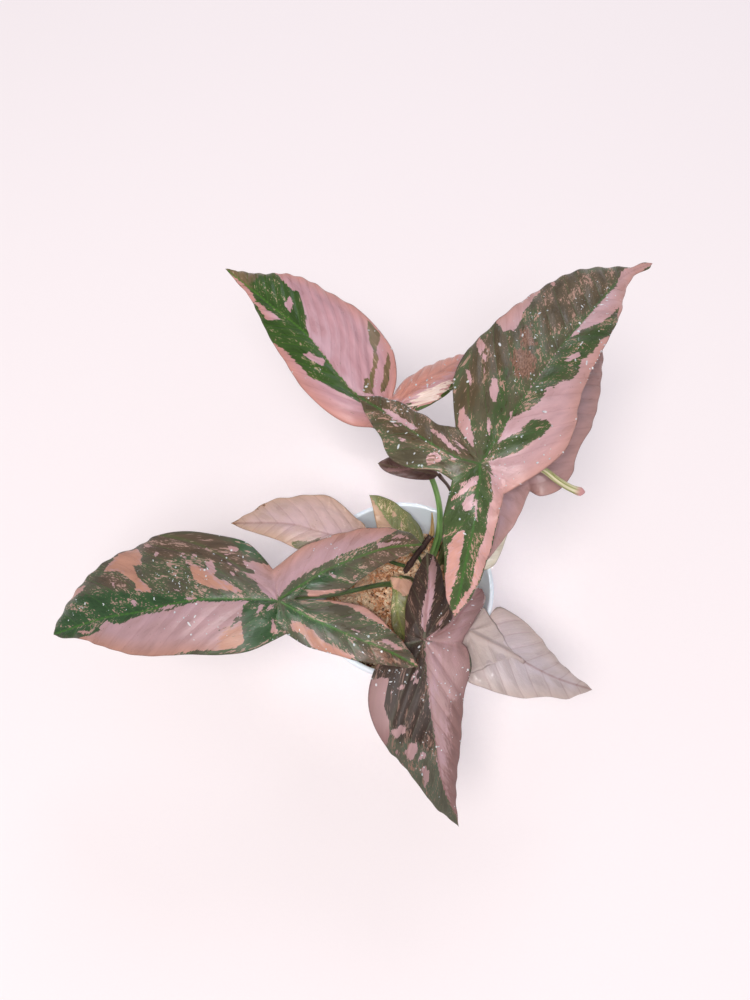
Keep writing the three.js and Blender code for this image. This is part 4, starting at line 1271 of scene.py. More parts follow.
LEAF_UPPER_LEFT = {
    "joint": (-12, 72, 176),
    "stalk": {
        "route": [(20, 27, 68), (23, 34, 95), (22, 43, 116), (15, 52, 142), (2, 63, 163)],
        "radii": (2.1, 1.4),
    },
    "notches": [(-18, 66, 172), (-6, 69, 175), (-7, 82, 177)],
    "vein_gap": 10.5, "vein_lean": 1.5, "quilt": 1.2,
    "lobes": [{
        "midrib": [(-27, 83, 180), (-39, 98, 181), (-54, 121, 178), (-78, 148, 172), (-109, 184, 160)],
        "left": [(7, 15), (14, 18), (27, 20), (40, 19), (54, 16), (68, 9), (79, 4), (90, 2)],
        "right": [
            (4, 22), (10, 31), (20, 35), (31, 37), (42, 35), (55, 32), (67, 30), (78, 23), (86, 13),
            (93, 6),
        ],
        "fall": (0.2, 0.1), "waves": (2, 3), "wave_height": 1.1,
        "paint": [
            ("pink", [
                (81, -100), (74, -67), (69, -54), (64, -54), (58, -38), (53, -25), (48, -8), (42, 0),
                (35, 0), (25, 0), (16, 4), (10, 4), (4, -110), (17, -110), (24, -110), (33, -110),
                (39, -110), (53, -110), (69, -110), (77, -110),
            ]),
            ("green", [
                (42, -96), (40, -96), (36, -96), (32, -83), (29, -71), (26, -71), (20, -58), (13, -50),
                (13, -38), (20, -50), (26, -62), (31, -71), (35, -75),
            ]),
            ("green", [(31, -92), (28, -92), (21, -88), (17, -79), (16, -71), (24, -79), (28, -88)]),
            ("green", [(20, -42), (20, -50), (13, -42), (13, -21)]),
            ("pink", [(77, 79), (71, 42), (59, 21), (64, 71), (69, 75)]),
            ("pink", [(97, 88), (89, 17), (81, 25), (75, 54), (77, 100), (86, 110)]),
            ("pink", [
                (60, 110), (54, 88), (50, 79), (43, 71), (35, 67), (32, 58), (25, 46), (18, 42), (1, -88),
                (17, 110), (23, 110), (34, 110), (47, 110), (58, 110),
            ]),
            ("pink", [(43, 46), (40, 29), (31, 4), (32, 25), (40, 42)]),
            ("pink", [(64, -21), (65, -38), (61, -29), (58, -12), (63, -17)]),
            ("lush", [
                (84, -75), (72, -62), (66, -62), (57, -33), (47, -8), (34, 0), (19, 12), (14, 46),
                (19, 46), (32, 58), (48, 83), (61, 100), (76, 96), (83, -8),
            ]),
            ("dark", [
                (43, -92), (41, -100), (34, -100), (28, -100), (21, -92), (13, -79), (14, 38), (23, -50),
                (30, -67),
            ]),
            ("dark", [(100, 8), (90, -100), (82, -79), (78, -8), (85, 100)]),
        ],
    }, {
        "midrib": [(-1, 62, 178), (9, 57, 173)],
        "left": [(50, 8), (78, 7)],
        "right": [(40, 7), (78, 7)],
        "fall": (0.3, 0.3), "waves": (1, 1), "wave_height": 0,
    }, {
        "midrib": [(0, 81, 182), (8, 88, 183), (19, 97, 180), (30, 108, 174), (43, 120, 165)],
        "left": [(16, 7), (30, 10), (50, 12), (68, 10), (85, 5)],
        "right": [(25, 13), (40, 14), (58, 12), (78, 8), (92, 4)],
        "fall": (0.9, 0.1), "waves": (1, 2), "wave_height": 0.5,
        "paint": [
            ("pink", "all"),
            ("tan", [
                (44, -67), (47, -50), (54, -50), (61, -54), (67, -67), (67, -79), (61, -79), (59, -92),
                (56, -92), (50, -83),
            ]),
            ("green", [
                (30, -58), (44, -67), (51, -88), (57, -96), (61, -96), (62, -83), (67, -83), (68, -67),
                (75, -71), (74, -110), (63, -110), (54, -110), (45, -79),
            ]),
            ("coral", [
                (33, 110), (51, 110), (67, 110), (82, 110), (90, 92), (74, -38), (58, -38), (46, -46),
                (32, -50),
            ]),
        ],
    }],
}

# Living leaf, grown: deeply quilted, its rose tissue torn into streaks along the side veins
upper_left_skin = leaf_skin(
    "leaf_living_rose_and_green", LEAF_UPPER_LEFT,
    olive="#4d5a2a", green="#43501f", fresh="#4c7a1e", lush="#37531a", dark="#7d6648",
    pink="#c6949a", painted_lilac_sheen="#c49ea7", coral="#cc8c7c", fleck="#b59b80", under="#a08a74",
    tan="#f2dcd2", scab="#e8cabc", flecks=0.4, specks=0.4,
)
grow("leaf_upper_left", LEAF_UPPER_LEFT, upper_left_skin, "leaf_pink_green", bright_stalk, "petiole_green")

# The left leaf. Broad and level, with two long ears: green splashed with rose, more rose on the
# near side of the midrib than on the far one, on a stalk that comes over the middle of the pot.

LEAF_LEFT = {
    "joint": (-69, -22, 140),
    "stalk": {
        "route": [(15, 7, 66), (4, 4, 78), (-7, 4, 86), (-39, -12, 118), (-58, -19, 133)],
        "radii": (1.8, 1.2),
    },
    "notches": [(-64, -39, 134), (-60, -21, 139), (-73, -3, 136)],
    "vein_gap": 13.5, "vein_lean": 1.0, "quilt": 0.7,
    "lobes": [{
        "midrib": [
            (-82, -22, 142), (-103, -22, 143), (-122, -23, 139), (-145, -26, 131), (-169, -27, 121),
            (-202, -32, 104),
        ],
        "left": [(10, 27), (20, 29), (33, 28), (46, 26), (58, 22), (74, 15), (86, 7), (94, 4)],
        "right": [
            (8, 27), (14, 34), (25, 39), (36, 43), (48, 44), (60, 42), (71, 38), (82, 28), (91, 18),
            (97, 8),
        ],
        "fall": (0.2, 0.12), "waves": (3, 3), "wave_height": 1.1,
        "paint": [
            ("pink", [
                (0, -110), (6, -33), (10, -42), (17, -58), (20, -71), (22, -67), (25, -75), (24, -75),
                (23, -75), (22, -83), (19, -96), (18, -110),
            ]),
            ("pink", [(22, -58), (20, -58), (15, -54), (19, -67)]),
            ("pink", [
                (43, -67), (42, -67), (38, -50), (36, -50), (32, -42), (27, -33), (21, -29), (16, -21),
                (18, -17), (25, -17), (31, -21), (35, -29), (38, -46),
            ]),
            ("pink", [(34, -54), (32, -58), (29, -42), (29, -33), (32, -46)]),
            ("pink", [(31, -88), (27, -88), (27, -79), (29, -79)]),
            ("pink", [(30, -71), (28, -75), (29, -71)]),
            ("pink", [(28, -62), (27, -62), (26, -58), (26, -54)]),
            ("pink", [(25, -46), (24, -50), (23, -42)]),
            ("pink", [(38, -88), (36, -79), (34, -71), (35, -71)]),
            ("pink", [(39, -83), (38, -75), (36, -71), (38, -75)]),
            ("pink", [(39, -67), (38, -67), (37, -62), (39, -62)]),
            ("pink", [
                (70, -88), (66, -100), (60, -96), (56, -75), (57, -71), (56, -62), (60, -67), (57, -46),
                (51, -25), (51, -21), (58, -29), (58, -38), (62, -54), (66, -67), (72, -83),
            ]),
            ("pink", [(50, -25), (47, -17), (48, -21)]),
            ("pink", [(57, -100), (55, -92), (53, -83), (56, -88)]),
            ("pink", [(52, -71), (51, -75), (50, -71), (50, -67), (51, -67)]),
            ("pink", [(60, -17), (58, -17), (56, -8), (58, -8)]),
            ("pink", [(69, -54), (67, -50), (67, -42)]),
            ("pink", [(88, -100), (84, -100), (79, -83), (81, -75), (85, -83)]),
            ("pink", [(42, -21), (39, -17), (39, -12)]),
            ("pink", [(36, -4), (33, -4), (32, 0)]),
            ("pink", [
                (11, 8), (20, 8), (30, 4), (35, 4), (43, 12), (51, 8), (59, 12), (65, 25), (69, 21),
                (71, 8), (75, 25), (75, 42), (80, 62), (88, 96), (86, 110), (72, 110), (54, 110),
                (48, 96), (41, 92), (33, 92), (30, 92), (27, 83), (24, 58), (21, 38), (17, 21),
            ]),
            ("green", [(22, 46), (27, 58), (31, 58), (27, 54), (23, 42)]),
            ("pink", [(87, 42), (83, 38), (81, 50), (84, 62)]),
            ("pink", [(48, 4), (43, 0), (38, 4), (43, 8)]),
            ("pink", [(10, 25), (8, 33), (14, 46), (19, 54)]),
            ("pink", [(12, 50), (7, 42), (3, 46), (7, 58)]),
            ("pink", [(20, 88), (13, 71), (16, 79), (19, 92)]),
            ("lush", [(30, -100), (26, -110), (22, -110), (18, -110), (21, -96), (24, -88), (27, -83)]),
            ("lush", [
                (100, 0), (93, -110), (83, -71), (69, -42), (51, -21), (39, -12), (15, -4), (0, 110),
                (16, 29), (31, 8), (47, 4), (65, 25), (78, 54), (92, 100),
            ]),
            ("lush", [(18, 25), (6, 4), (0, 110), (9, 110), (19, 96), (24, 110), (31, 110), (25, 71)]),
            ("dark", [
                (56, -100), (45, -100), (35, -100), (27, -88), (23, -79), (22, -46), (31, -54), (40, -67),
                (47, -58), (60, -92),
            ]),
            ("dark", [(71, -79), (66, -62), (61, -46), (61, -29), (70, -46), (74, -71)]),
            ("coral", [
                (42, -58), (38, -50), (32, -42), (26, -29), (21, -25), (14, -17), (24, -17), (31, -17),
                (38, -33),
            ]),
            ("coral", [
                (70, -88), (66, -100), (60, -96), (56, -75), (57, -71), (56, -42), (51, -25), (51, -21),
                (58, -29), (66, -67), (72, -83),
            ]),
            ("coral", [(37, 96), (29, 58), (24, 58), (26, 83), (30, 96)]),
        ],
    }, {
        "midrib": [(-52, -31, 139), (-33, -39, 136), (-11, -47, 132), (7, -55, 127)],
        "left": [(14, 7), (30, 14), (45, 18), (57, 18), (74, 12), (90, 6)],
        "right": [(30, 14), (45, 12), (60, 11), (80, 7), (93, 3.5)],
        "fall": (0.2, 0.25), "waves": (2, 2), "wave_height": 0.8,
        "paint": [
            ("pink", [
                (49, 92), (56, 88), (65, 71), (76, 88), (81, 100), (92, 100), (95, 110), (89, 110),
                (80, 110), (69, 110), (61, 110), (53, 110), (47, 110),
            ]),
            ("pink", [(35, 92), (42, 100), (50, 110), (47, 96)]),
            ("pink", [(72, 29), (77, 42), (88, 58), (84, 25), (76, 21)]),
            ("pink", [(54, 21), (58, 25), (61, 17)]),
            ("pink", [(53, -4), (57, -4), (58, -12)]),
            ("pink", [(53, 54), (56, 58), (56, 50)]),
            ("pink coral", [
                (22, -67), (25, -46), (37, -42), (47, -58), (57, -71), (66, -79), (66, -110), (53, -110),
                (46, -92), (38, -71), (33, -83),
            ]),
            ("tan", [(68, -33), (75, -21), (82, -29), (88, -46), (81, -71)]),
            ("pink", [(93, 38), (98, 100), (100, 0), (95, 4)]),
            ("lush", [(12, 96), (28, 75), (37, 46), (42, 17), (44, -8), (38, -29), (24, -38), (20, -96)]),
            ("dark", [(72, 25), (86, 38), (100, 0), (91, -110), (75, -100), (63, -83)]),
        ],
    }, {
        "midrib": [(-52, -10, 139), (-33, 1, 136), (-11, 11, 131), (11, 16, 124)],
        "left": [(28, 20), (42, 20), (57, 18), (72, 15), (87, 11), (96, 6)],
        "right": [(10, 4), (24, 11), (38, 14), (50, 12), (68, 9), (84, 6), (94, 3)],
        "fall": (0.2, 0.25), "waves": (2, 2), "wave_height": 0.8,
        "paint": [
            ("pink", [
                (3, 50), (17, 38), (31, 25), (43, 21), (52, 25), (64, 29), (78, 50), (86, 96), (78, 100),
                (64, 110), (51, 100), (38, 110), (27, 110), (9, 110),
            ]),
            ("pink", [(70, 25), (84, 25), (86, 17), (71, 8)]),
            ("pink", [(79, 38), (86, 62), (93, 38), (87, 42)]),
            ("pink", [(30, -67), (40, -83), (51, -92), (47, -92), (39, -100), (36, -100)]),
            ("pink", [(54, -54), (58, -75), (56, -83)]),
            ("pink", [(37, -12), (46, -46), (43, -50)]),
            ("lush", [
                (7, -71), (14, 12), (23, 0), (38, -12), (48, -12), (43, -54), (35, -75), (30, -100),
            ]),
            ("dark", [(69, 8), (86, 83), (100, 0), (90, -110), (71, -110), (58, -42)]),
        ],
    }],
}

# Living leaf, grown: grey olive clouded with green, coral margins, brown specks by the hundred
left_skin = leaf_skin(
    "leaf_living_green_and_coral", LEAF_LEFT,
    olive="#5c5544", green="#4a553a", fresh="#44702a", lush="#33502c", dark="#5e4c3c",
    pink="#b58f90", painted_lilac_sheen="#ae8b92", coral="#b8846f", fleck="#ad8a7e", under="#8c8468",
    flecks=0.6, specks=0.6,
)
grow("leaf_left", LEAF_LEFT, left_skin, "leaf_olive_pink", green_stalk, "petiole_green")

# The front leaf. It hangs over the front of the rim from a maroon stalk, one half of its blade
# brown with pink spots and the other mauve, with a dark ear that stands up in front of the moss.

LEAF_FRONT = {
    "joint": (11, -38, 116),
    "stalk": {"route": [(18, 16, 68), (17, -4, 95), (14, -24, 107)], "radii": (1.8, 1.2)},
    "notches": [(33, -38, 110), (19, -33, 115), (0, -38, 112)],
    "vein_gap": 14.0, "vein_lean": 1.7, "quilt": 0.9,
    "lobes": [{
        "midrib": [(13, -62, 114), (15, -81, 108), (17, -94, 101), (21, -112, 89), (31, -134, 70)],
        "left": [(5, 24), (14, 25), (26, 20), (38, 17), (53, 14), (70, 9), (88, 3)],
        "right": [(8, 26), (18, 32), (28, 34), (38, 32), (48, 27), (59, 19), (72, 12), (83, 8), (93, 3)],
        "fall": (0.15, 0.15), "waves": (2, 3), "wave_height": 0.9,
        "paint": [
            ("pink", [
                (1, 17), (15, -4), (33, -4), (48, 0), (68, -4), (81, -4), (93, 46), (100, 4), (87, 110),
                (63, 110), (42, 110), (27, 110), (17, 110),
            ]),
            ("pink", [
                (39, -96), (37, -83), (36, -75), (39, -75), (45, -75), (50, -71), (54, -75), (61, -100),
                (54, -110), (45, -110), (42, -110),
            ]),
            ("pink", [(53, -71), (48, -46), (51, -46), (56, -71)]),
            ("pink", [(60, -62), (55, -42), (54, -33), (57, -33), (63, -54), (65, -75)]),
            ("pink", [(63, -42), (58, -29), (56, -17), (60, -25)]),
            ("pink", [(67, -46), (65, -33), (67, -29), (73, -46), (78, -79)]),
            ("pink", [(61, -83), (60, -75), (62, -79), (65, -92)]),
            ("pink", [(67, -92), (70, -100), (70, -110)]),
            ("pink", [(31, -46), (26, -46), (26, -42), (31, -42)]),
            ("pink", [(37, -58), (35, -54), (34, -50), (36, -50)]),
            ("pink", [(33, -42), (28, -38), (29, -33)]),
            ("pink", [(40, -67), (37, -62), (37, -58)]),
            ("dark", [
                (36, -110), (0, 0), (15, -4), (31, 0), (52, 0), (56, -12), (54, -42), (56, -67),
                (47, -75), (45, -96),
            ]),
            ("coral", [(39, 46), (46, 110), (100, 4), (92, -25), (76, 4)]),
        ],
    }, {
        "midrib": [(25, -31, 114), (34, -19, 110), (47, -4, 103)],
        "left": [(46, 5), (72, 7), (90, 6)],
        "right": [(40, 9), (55, 9), (70, 8), (88, 6)],
        "fall": (0.3, 0.3), "waves": (1, 1), "wave_height": 0,
        "paint": [
            ("pink", "all"),
            # Painted shadow: the dark at this ear's tip is the shade that the upper right leaf casts on it;
            # the pink laid over the whole ear hides it
            ("dark", [(90, 110), (100, 0), (89, -110), (77, -62), (81, 33)]),
        ],
    }, {
        "midrib": [(12, -25, 121), (14, -7, 120), (14, 15, 114)],
        "left": [(16, 11), (36, 12), (56, 10), (74, 7), (90, 3)],
        "right": [(28, 15), (42, 13), (56, 10), (74, 8), (92, 6)],
        "fall": (0.45, 0.45), "waves": (2, 2), "wave_height": 0.5,
        "paint": [
            ("pink", [
                (96, -100), (86, -67), (72, -46), (47, -25), (26, -29), (8, 0), (23, 33), (42, 21),
                (56, 4), (77, -4),
            ]),
            ("pink", [(44, -79), (47, -79), (48, -83), (44, -88)]),
            ("dark", "all"),
        ],
    }],
}

# Living leaf, grown: chocolate brown beside smoky mauve, with a duller skin than the upper leaves
front_skin = leaf_skin(
    "leaf_living_chocolate_and_mauve", LEAF_FRONT,
    olive="#5a5646", green="#505444", fresh="#5c5a44", lush="#4a4c38", dark="#38261c",
    pink="#ac8785", painted_lilac_sheen="#ad8c92", coral="#84625e", fleck="#8c6a5c", under="#7c6a58",
    flecks=0.5, specks=0.6, veins=0.24, gloss=0.48,
)
grow("leaf_front", LEAF_FRONT, front_skin, "leaf_dark_pink", maroon_stalk, "petiole_maroon")

# The front right leaf. A maroon stalk holds it low over the rim on the right. It is silvery mauve
# all over with a reddish midrib and side veins.

LEAF_FRONT_RIGHT = {
    "joint": (38, -29, 100),
    "stalk": {"route": [(24, 11, 68), (29, -4, 83), (34, -18, 90)], "radii": (1.6, 1.1)},
    "notches": [(36, -54, 98), (34, -31, 99), (48, -14, 97)],
    "vein_gap": 12.0, "vein_lean": 0.9, "quilt": 0.7,
    "lobes": [{
        "midrib": [(44, -33, 101), (60, -41, 99), (75, -49, 95), (91, -55, 89), (112, -59, 80)],
        "left": [(10, 23), (22, 24), (41, 20), (60, 14), (80, 7), (93, 2.5)],
        "right": [(12, 24), (26, 24), (40, 22), (53, 18), (65, 12), (80, 9), (93, 3)],
        "fall": (0.15, 0.15), "waves": (2, 2), "wave_height": 0.8,
        "paint": [
            ("pink", "all"),
        ],
    }, {
        "midrib": [(32, -39, 100), (26, -51, 99)],
        "left": [(70, 9), (92, 5)],
        "right": [(35, 6), (78, 6)],
        "fall": (0.1, 0.1), "waves": (1, 1), "wave_height": 0,
        "paint": [
            ("pink", "all"),
        ],
    }, {
        "midrib": [(42, -17, 98), (47, -2, 94)],
        "left": [(35, 6), (75, 6)],
        "right": [(60, 4), (88, 4)],
        "fall": (0.2, 0.2), "waves": (1, 1), "wave_height": 0,
        "paint": [
            ("pink", "all"),
        ],
    }],
}

# Living leaf, grown: bleached to pale rose, which lets its red veins show; its silver is painted sheen, the
# sky's reflection laid into the colour
silver_skin = leaf_skin(
    "leaf_living_silver_rose", LEAF_FRONT_RIGHT,
    olive="#c6b8b6", green="#c3aca2", fresh="#9a706a", lush="#a9a492", dark="#9a8178",
    pink="#beacab", painted_lilac_sheen="#baacb1", coral="#bfa99f", fleck="#cdbfc2", under="#b8a69e",
    flecks=0.3, specks=0.45, veins=0.2,
)
grow("leaf_front_right", LEAF_FRONT_RIGHT, silver_skin, "leaf_pale", maroon_stalk, "petiole_maroon")

# The low left leaf. An old leaf that lies out over the rim on the left, faded to beige rose, with
# a scab on its upper margin and a brown drip tip.

LEAF_LOW_LEFT = {
    "joint": (-24, 22, 104),
    "stalk": {"route": [(6, 20, 68), (-7, 20, 82), (-16, 21, 95)], "radii": (1.5, 1)},
    "notches": [],
    "vein_gap": 11.0, "vein_lean": 1.0, "quilt": 0.6,
    "lobes": [{
        "midrib": [(-41, 28, 106), (-51, 31, 106), (-65, 36, 104), (-82, 39, 100), (-107, 42, 92)],
        "left": [(7, 12), (25, 15), (43, 14), (60, 11), (77, 7), (92, 3)],
        "right": [(4, 14), (12, 17), (25, 23), (37, 25), (48, 23), (60, 19), (72, 16), (82, 10), (92, 4)],
        "fall": (0.15, 0.15), "waves": (2, 3), "wave_height": 0.9,
        "paint": [
            ("pink", "all"),
            ("green", [(46, 83), (34, 46), (29, 21), (28, 58), (34, 96), (41, 100)]),
            ("tan", [(83, -110), (79, -110), (72, -92), (79, -92)]),
            ("tan", [(100, 21), (95, -100), (94, 100), (99, 110)]),
        ],
    }],
}

# Living leaf, ageing: beige rose with a fawn cloud, and olive only beside the joint
faded_skin = leaf_skin(
    "leaf_ageing_beige_rose", LEAF_LOW_LEFT,
    olive="#7d6c58", green="#6c7048", fresh="#9a6e66", lush="#5c7040", dark="#7a604c",
    pink="#cdaea6", painted_lilac_sheen="#c4a8aa", coral="#c8a48a", fleck="#b39a88", under="#b09c88",
    tan="#a07652", scab="#6f4a32", flecks=0.5, specks=0.5, veins=0.16,
)
grow("leaf_low_left", LEAF_LOW_LEFT, faded_skin, "leaf_pale", green_stalk, "petiole_green")

# The low back leaf. Small and folded along its midrib, low at the back of the pot: one half olive,
# the other fawn.

LEAF_LOW_BACK = {
    "joint": (11, 24, 80),
    "stalk": {"route": [(14, 22, 66), (13, 22.5, 74)], "radii": (1.2, 1)},
    "notches": [],
    "vein_gap": 7.0, "vein_lean": 0.8, "quilt": 0.4,
    "lobes": [{
        "midrib": [(4, 30, 87), (-6, 38, 94), (-12, 46, 100), (-20, 56, 104)],
        "left": [(12, 2), (32, 5), (52, 9), (72, 6), (88, 2.5)],
        "right": [(6, 8), (15, 12), (26, 15), (42, 16), (66, 13), (86, 8)],
        "fall": (0.3, 0.2), "waves": (1, 1), "wave_height": 0.3,
        "paint": [
            ("pink", [(20, 29), (49, 0), (73, 8), (100, 0), (94, 110), (61, 110), (32, 110), (11, 110)]),
            ("pink", [(63, -42), (63, -62), (56, -54), (57, -33)]),
            ("pink", [(44, -25), (45, -50), (39, -38)]),
        ],
    }],
}

# Living leaf, grown: soft olive with beige spots, fawn on its far half
folded_skin = leaf_skin(
    "leaf_living_olive_and_fawn", LEAF_LOW_BACK,
    olive="#848860", green="#727444", fresh="#7c874c", lush="#6f7c41", dark="#625733",
    pink="#c4a088", painted_lilac_sheen="#be9e8e", coral="#c19b7b", fleck="#d0b898", under="#a8a478",
    flecks=0.35, specks=0.6,
)
grow("leaf_low_back", LEAF_LOW_BACK, folded_skin, "leaf_olive", green_stalk, "petiole_green")

# The small maroon leaf. A single narrow blade on a thin maroon stalk, which hides under the ear
# of the upper right leaf, dark with a rosy streak.

LEAF_SMALL_MAROON = {
    "joint": (19, 45, 157),
    "stalk": {"route": [(26, 31, 68), (30, 37, 100), (27, 43, 138)], "radii": (1.4, 0.9)},
    "notches": [],
    "vein_gap": 7.0, "vein_lean": 0.8, "quilt": 0.4,
    "lobes": [{
        "midrib": [(7, 46, 161), (-4, 47, 163), (-15, 50, 161)],
        "left": [(10, 3), (35, 5), (58, 5), (80, 4), (94, 2)],
        "right": [(12, 5), (30, 8), (50, 8), (70, 7), (86, 6), (96, 3)],
        "fall": (0.5, 0.5), "waves": (1, 1), "wave_height": 0,
        "paint": [
            ("pink", [(86, 100), (78, 29), (65, 0), (44, -4), (59, 46), (75, 92)]),
        ],
    }],
}

# Living leaf, grown: wine brown, with a rosy streak along one side
wine_skin = leaf_skin(
    "leaf_living_wine_brown", LEAF_SMALL_MAROON,
    olive="#5e4540", green="#6a504c", fresh="#6c5a4a", lush="#5c5240", dark="#4c3430",
    pink="#8e6f6f", painted_lilac_sheen="#86696c", coral="#8c6a64", fleck="#7a5c56", under="#6e5a50",
    flecks=0.35, specks=0.4,
)
grow("leaf_small_maroon", LEAF_SMALL_MAROON, wine_skin, "leaf_maroon", maroon_stalk, "petiole_maroon")

# The small middle leaf. A young blade on a short green stalk, half hidden between the others in
# the middle of the pot, olive and fawn pink.

LEAF_SMALL_MIDDLE = {
    "joint": (-1, 7, 92),
    "stalk": {"route": [(8, 12, 67), (5, 10, 80)], "radii": (1.3, 0.9)},
    "notches": [],
    "vein_gap": 6.5, "vein_lean": 0.8, "quilt": 0.4,
    "lobes": [{
        "midrib": [(-3, -2, 93), (-3, -14, 89), (2, -30, 80)],
        "left": [(4, 8), (25, 10), (50, 10), (75, 8), (92, 4)],
        "right": [(4, 6), (25, 3), (50, 4), (75, 5), (92, 3)],
        "fall": (0.2, 0.3), "waves": (1, 1), "wave_height": 0,
        "paint": [
            ("pink", [(8, -110), (10, 110), (23, 100), (31, 42), (20, -62)]),
        ],
    }],
}

# Living leaf, grown: olive brown, fawn pink where it folds
tiny_skin = leaf_skin(
    "leaf_living_olive_brown", LEAF_SMALL_MIDDLE,
    olive="#7c744b", green="#727642", fresh="#80843f", lush="#6c763b", dark="#7a6a4c",
    pink="#c2967f", painted_lilac_sheen="#be9687", coral="#c2947c", fleck="#c0a880", under="#a8a478",
    flecks=0.35, specks=0.5,
)
grow("leaf_small_middle", LEAF_SMALL_MIDDLE, tiny_skin, "leaf_olive", green_stalk, "petiole_green")

# The low right leaf. An old one on a short green stalk, pale beige green, which lies over the rim
# on the right behind the front right leaf.

LEAF_LOW_RIGHT = {
    "joint": (36, 12, 96),
    "stalk": {"route": [(34, 12, 66), (35, 12, 82)], "radii": (1.4, 1)},
    "notches": [],
    "vein_gap": 8.0, "vein_lean": 0.8, "quilt": 0.5,
    "lobes": [{
        "midrib": [(45, 21, 103), (55, 32, 108), (66, 44, 110)],
        "left": [(15, 3), (35, 6), (65, 10), (90, 6)],
        "right": [(8, 8), (28, 14), (50, 12), (68, 9), (86, 5)],
        "fall": (0.2, 0.15), "waves": (1, 1), "wave_height": 0.3,
        "paint": [
            ("pink", "all"),
        ],
    }],
}

# Living leaf, grown: bleached beige, with the last of its green in a few flecks
bleached_skin = leaf_skin(
    "leaf_living_bleached_beige", LEAF_LOW_RIGHT,
    olive="#e4dad2", green="#dcd4c2", fresh="#c8c09c", lush="#b0b084", dark="#c0a890",
    pink="#e0d8c8", painted_lilac_sheen="#d8cfc4", coral="#d6c8b0", fleck="#b4b084", under="#d0c6b0",
    flecks=0.2, specks=0.2,
)
grow("leaf_low_right", LEAF_LOW_RIGHT, bleached_skin, "leaf_pale", green_stalk, "petiole_green")

# The furled leaf. The newest leaf is still rolled tight round its own midrib, at the top of its
# own stalk, and leans out between the two upper right leaves.

FURLED_ROUTE = [
    (28, 17, 36), (28, 17, 70), (29, 18, 120), (32, 20, 160), (35, 22, 179),
    (43, 27, 189), (56, 34, 193), (68, 31.6, 192), (75.3, 26.7, 190), (81.5, 23.4, 188),
    (86, 21.8, 187), (90, 21.3, 186),
]
ROLL_START = 0.71
ROLL_RADIUS = 1.8
FURLED_STALK_RADIUS = 1.45
ROLL_TURNS = 2.5
PINK_END_MM = 6
STRIPE_MM = 1.1


def rolled(share):
    """How far the stalk has become the roll, from 0 to 1."""
    return 1 / (1 + np.exp(-(share - ROLL_START) / 0.012))


def furled_radius(share):
    knob = 1 + 0.22 * np.exp(-((share - 0.986) / 0.012) ** 2)
    tip = np.clip((1 - share) / 0.012, 0.04, 1) ** 0.5
    return (FURLED_STALK_RADIUS + (ROLL_RADIUS - FURLED_STALK_RADIUS) * rolled(share)) * knob * tip


def furled_section(share, angle):
    """The free margin winds round the roll as a step."""
    turn = (angle / (2 * math.pi) - ROLL_TURNS * share) % 1
    step = 0.5 - turn + 0.5 * np.exp(-turn / 0.04)
    return 1 + 0.24 * step * rolled(share) - 0.05 * rolled(share) * np.cos(3 * angle + 6 * share)


furled_length = curve_length(catmull_rom(FURLED_ROUTE))

# Living leaf, not yet open: satin cream with yellow green and rosy stripes along the roll
FURLED_CREAM = "#d8ceac"
FURLED_GREEN = "#8c8e4c"
FURLED_ROSE = "#c9908e"
FURLED_STALK_GREEN = "#6f8146"
furled = bare_material("leaf_living_furled_cream")
grain = node(furled, "Attribute", attribute_name="grain").outputs["Vector"]
around = 2 * math.pi * ROLL_RADIUS / STRIPE_MM / 4
lengthwise = node(furled, "VectorMath", {0: grain, 1: (around, around, 0.035)}, operation="MULTIPLY")
stripes = node(furled, "TexNoise", {"Vector": lengthwise, "Scale": 1.0, "Detail": 3.0})
run = node(furled, "SeparateXYZ", {0: grain}).outputs["Z"]
striped = node(furled, "MapRange", {"Value": stripes, "From Min": 0.42, "From Max": 0.58})
body = node(furled, "Mix", {0: striped, 6: FURLED_CREAM, 7: FURLED_GREEN})
roll_foot = furled_length * ROLL_START
stem_end = node(furled, "MapRange", {"Value": run, "From Min": roll_foot + 14, "From Max": roll_foot - 4})
body = node(furled, "Mix", {0: stem_end, 6: body, 7: FURLED_STALK_GREEN})
blushed = node(furled, "MapRange", {
    "Value": run, "From Min": furled_length - PINK_END_MM,
    "From Max": furled_length - PINK_END_MM / 2,
})
body = node(furled, "Mix", {0: blushed, 6: body, 7: FURLED_ROSE})
bump = node(furled, "Bump", {"Height": stripes, "Strength": 0.3, "Distance": 0.0003})
skin = node(furled, "BsdfPrincipled", {
    "Base Color": body, "Roughness": 0.38, "IOR": 1.42, "Normal": bump, "Coat Weight": 0.2,
    "Coat Roughness": 0.25,
})
node(furled, "OutputMaterial", {"Surface": skin})
rod("furled_roll", FURLED_ROUTE, furled_radius, furled, "furled_yellow_green", "furled_leaf",
    sides=36, section=furled_section)


# The dew. Mist has settled on the upper leaves in beads and short runs of water, which lie
# thickest where drops have run together. Held by surface tension alone.

DEW_COUNTS = ((LEAF_UPPER_RIGHT, 330), (LEAF_LEFT, 190), (LEAF_FRONT, 150), (LEAF_UPPER_LEFT, 70))
DEW_PER_CLUSTER = 8
DEW_SPREAD = 5.5
BEAD_RADIUS = 0.27
BEAD_LARGEST = 0.75
BEAD_STRETCH = 2.2
BEAD_CROWN = 0.52
BEAD_SIDES = 10
BEAD_RINGS = ((1.0, -0.15), (0.8, 0.28), (0.42, 0.46))

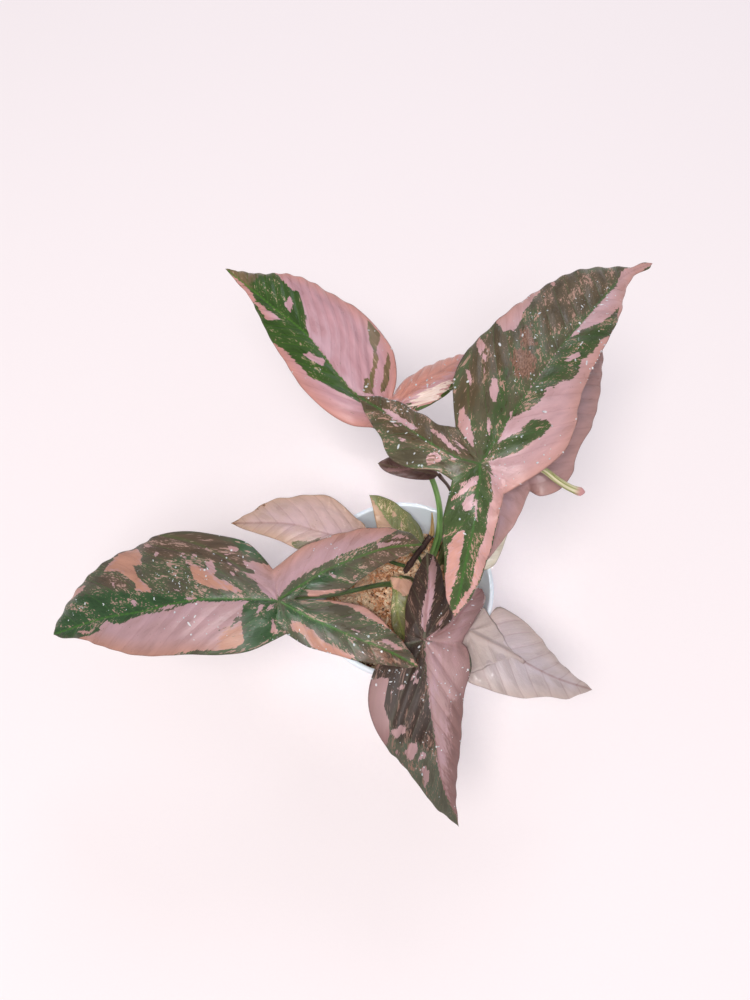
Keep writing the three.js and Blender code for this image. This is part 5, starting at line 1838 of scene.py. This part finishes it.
chance = np.random.default_rng(23)
turn = round_turn(BEAD_SIDES)
points, faces = [], []
for leaf, drops in DEW_COUNTS:
    top = leaf["top"]
    corners = np.array([f[:3] for f in leaf["faces"]])
    middles = top[corners].mean(axis=1)
    turned = np.cross(top[corners[:, 1]] - top[corners[:, 0]], top[corners[:, 2]] - top[corners[:, 0]])
    upright = unit(turned)
    area = np.linalg.norm(turned, axis=1)
    clusters = middles[chance.choice(len(middles), drops // DEW_PER_CLUSTER, p=area / area.sum())]
    wanted = clusters[chance.integers(0, len(clusters), drops)] + chance.normal(0, DEW_SPREAD, (drops, 3))
    for target in wanted:
        seat = np.linalg.norm(middles - target, axis=1).argmin()
        up = upright[seat]
        broad = min(BEAD_RADIUS * chance.lognormal(0, 0.45), BEAD_LARGEST)
        long = broad * (1 + BEAD_STRETCH * chance.random() ** 4)
        ahead = unit(np.cross(up, chance.normal(0, 1, 3)))
        aside = np.cross(up, ahead)
        first = len(points)
        for share, rise in BEAD_RINGS:
            for a in turn:
                flat = ahead * math.cos(a) * long + aside * math.sin(a) * broad
                points.append(middles[seat] + share * flat + up * rise * broad)
        points.append(middles[seat] + up * BEAD_CROWN * broad)
        faces += ring_faces(first, len(BEAD_RINGS), BEAD_SIDES)
        low = first + (len(BEAD_RINGS) - 1) * BEAD_SIDES
        faces += [(low + k, low + (k + 1) % BEAD_SIDES, len(points) - 1) for k in range(BEAD_SIDES)]
        faces.append(tuple(first + k for k in reversed(range(BEAD_SIDES))))

# Mist water, condensed and very glossy. Its near white, partly clear base colour is a painted glint, lighter
# or greyer from bead to bead, so each bead shows pale, no two the same
PAINTED_GLINT_WHITE = "#ffffff"
PAINTED_GLINT_GREY = "#dde3e8"
BEAD_MM = 2.5
water = bare_material("water_condensed_beads")
place = node(water, "TexCoord").outputs["Object"]
beads = node(water, "TexNoise", {"Vector": place, "Scale": 1000 / BEAD_MM, "Detail": 1.0})
# Painted glint: how much of the white glint colour each bead gets
bright = node(water, "MapRange", {"Value": beads, "From Min": 0.4, "From Max": 0.6})
tone = node(water, "Mix", {0: bright, 6: PAINTED_GLINT_GREY, 7: PAINTED_GLINT_WHITE})
skin = node(water, "BsdfPrincipled", {
    "Base Color": tone, "Roughness": 0.06, "IOR": 1.333, "Alpha": 0.7, "Coat Weight": 1.0,
    "Coat Roughness": 0.03,
})
node(water, "OutputMaterial", {"Surface": skin})
settle("dew", write_mesh("dew", np.array(points), faces), water, "leaf_olive_pink")


low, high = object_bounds()
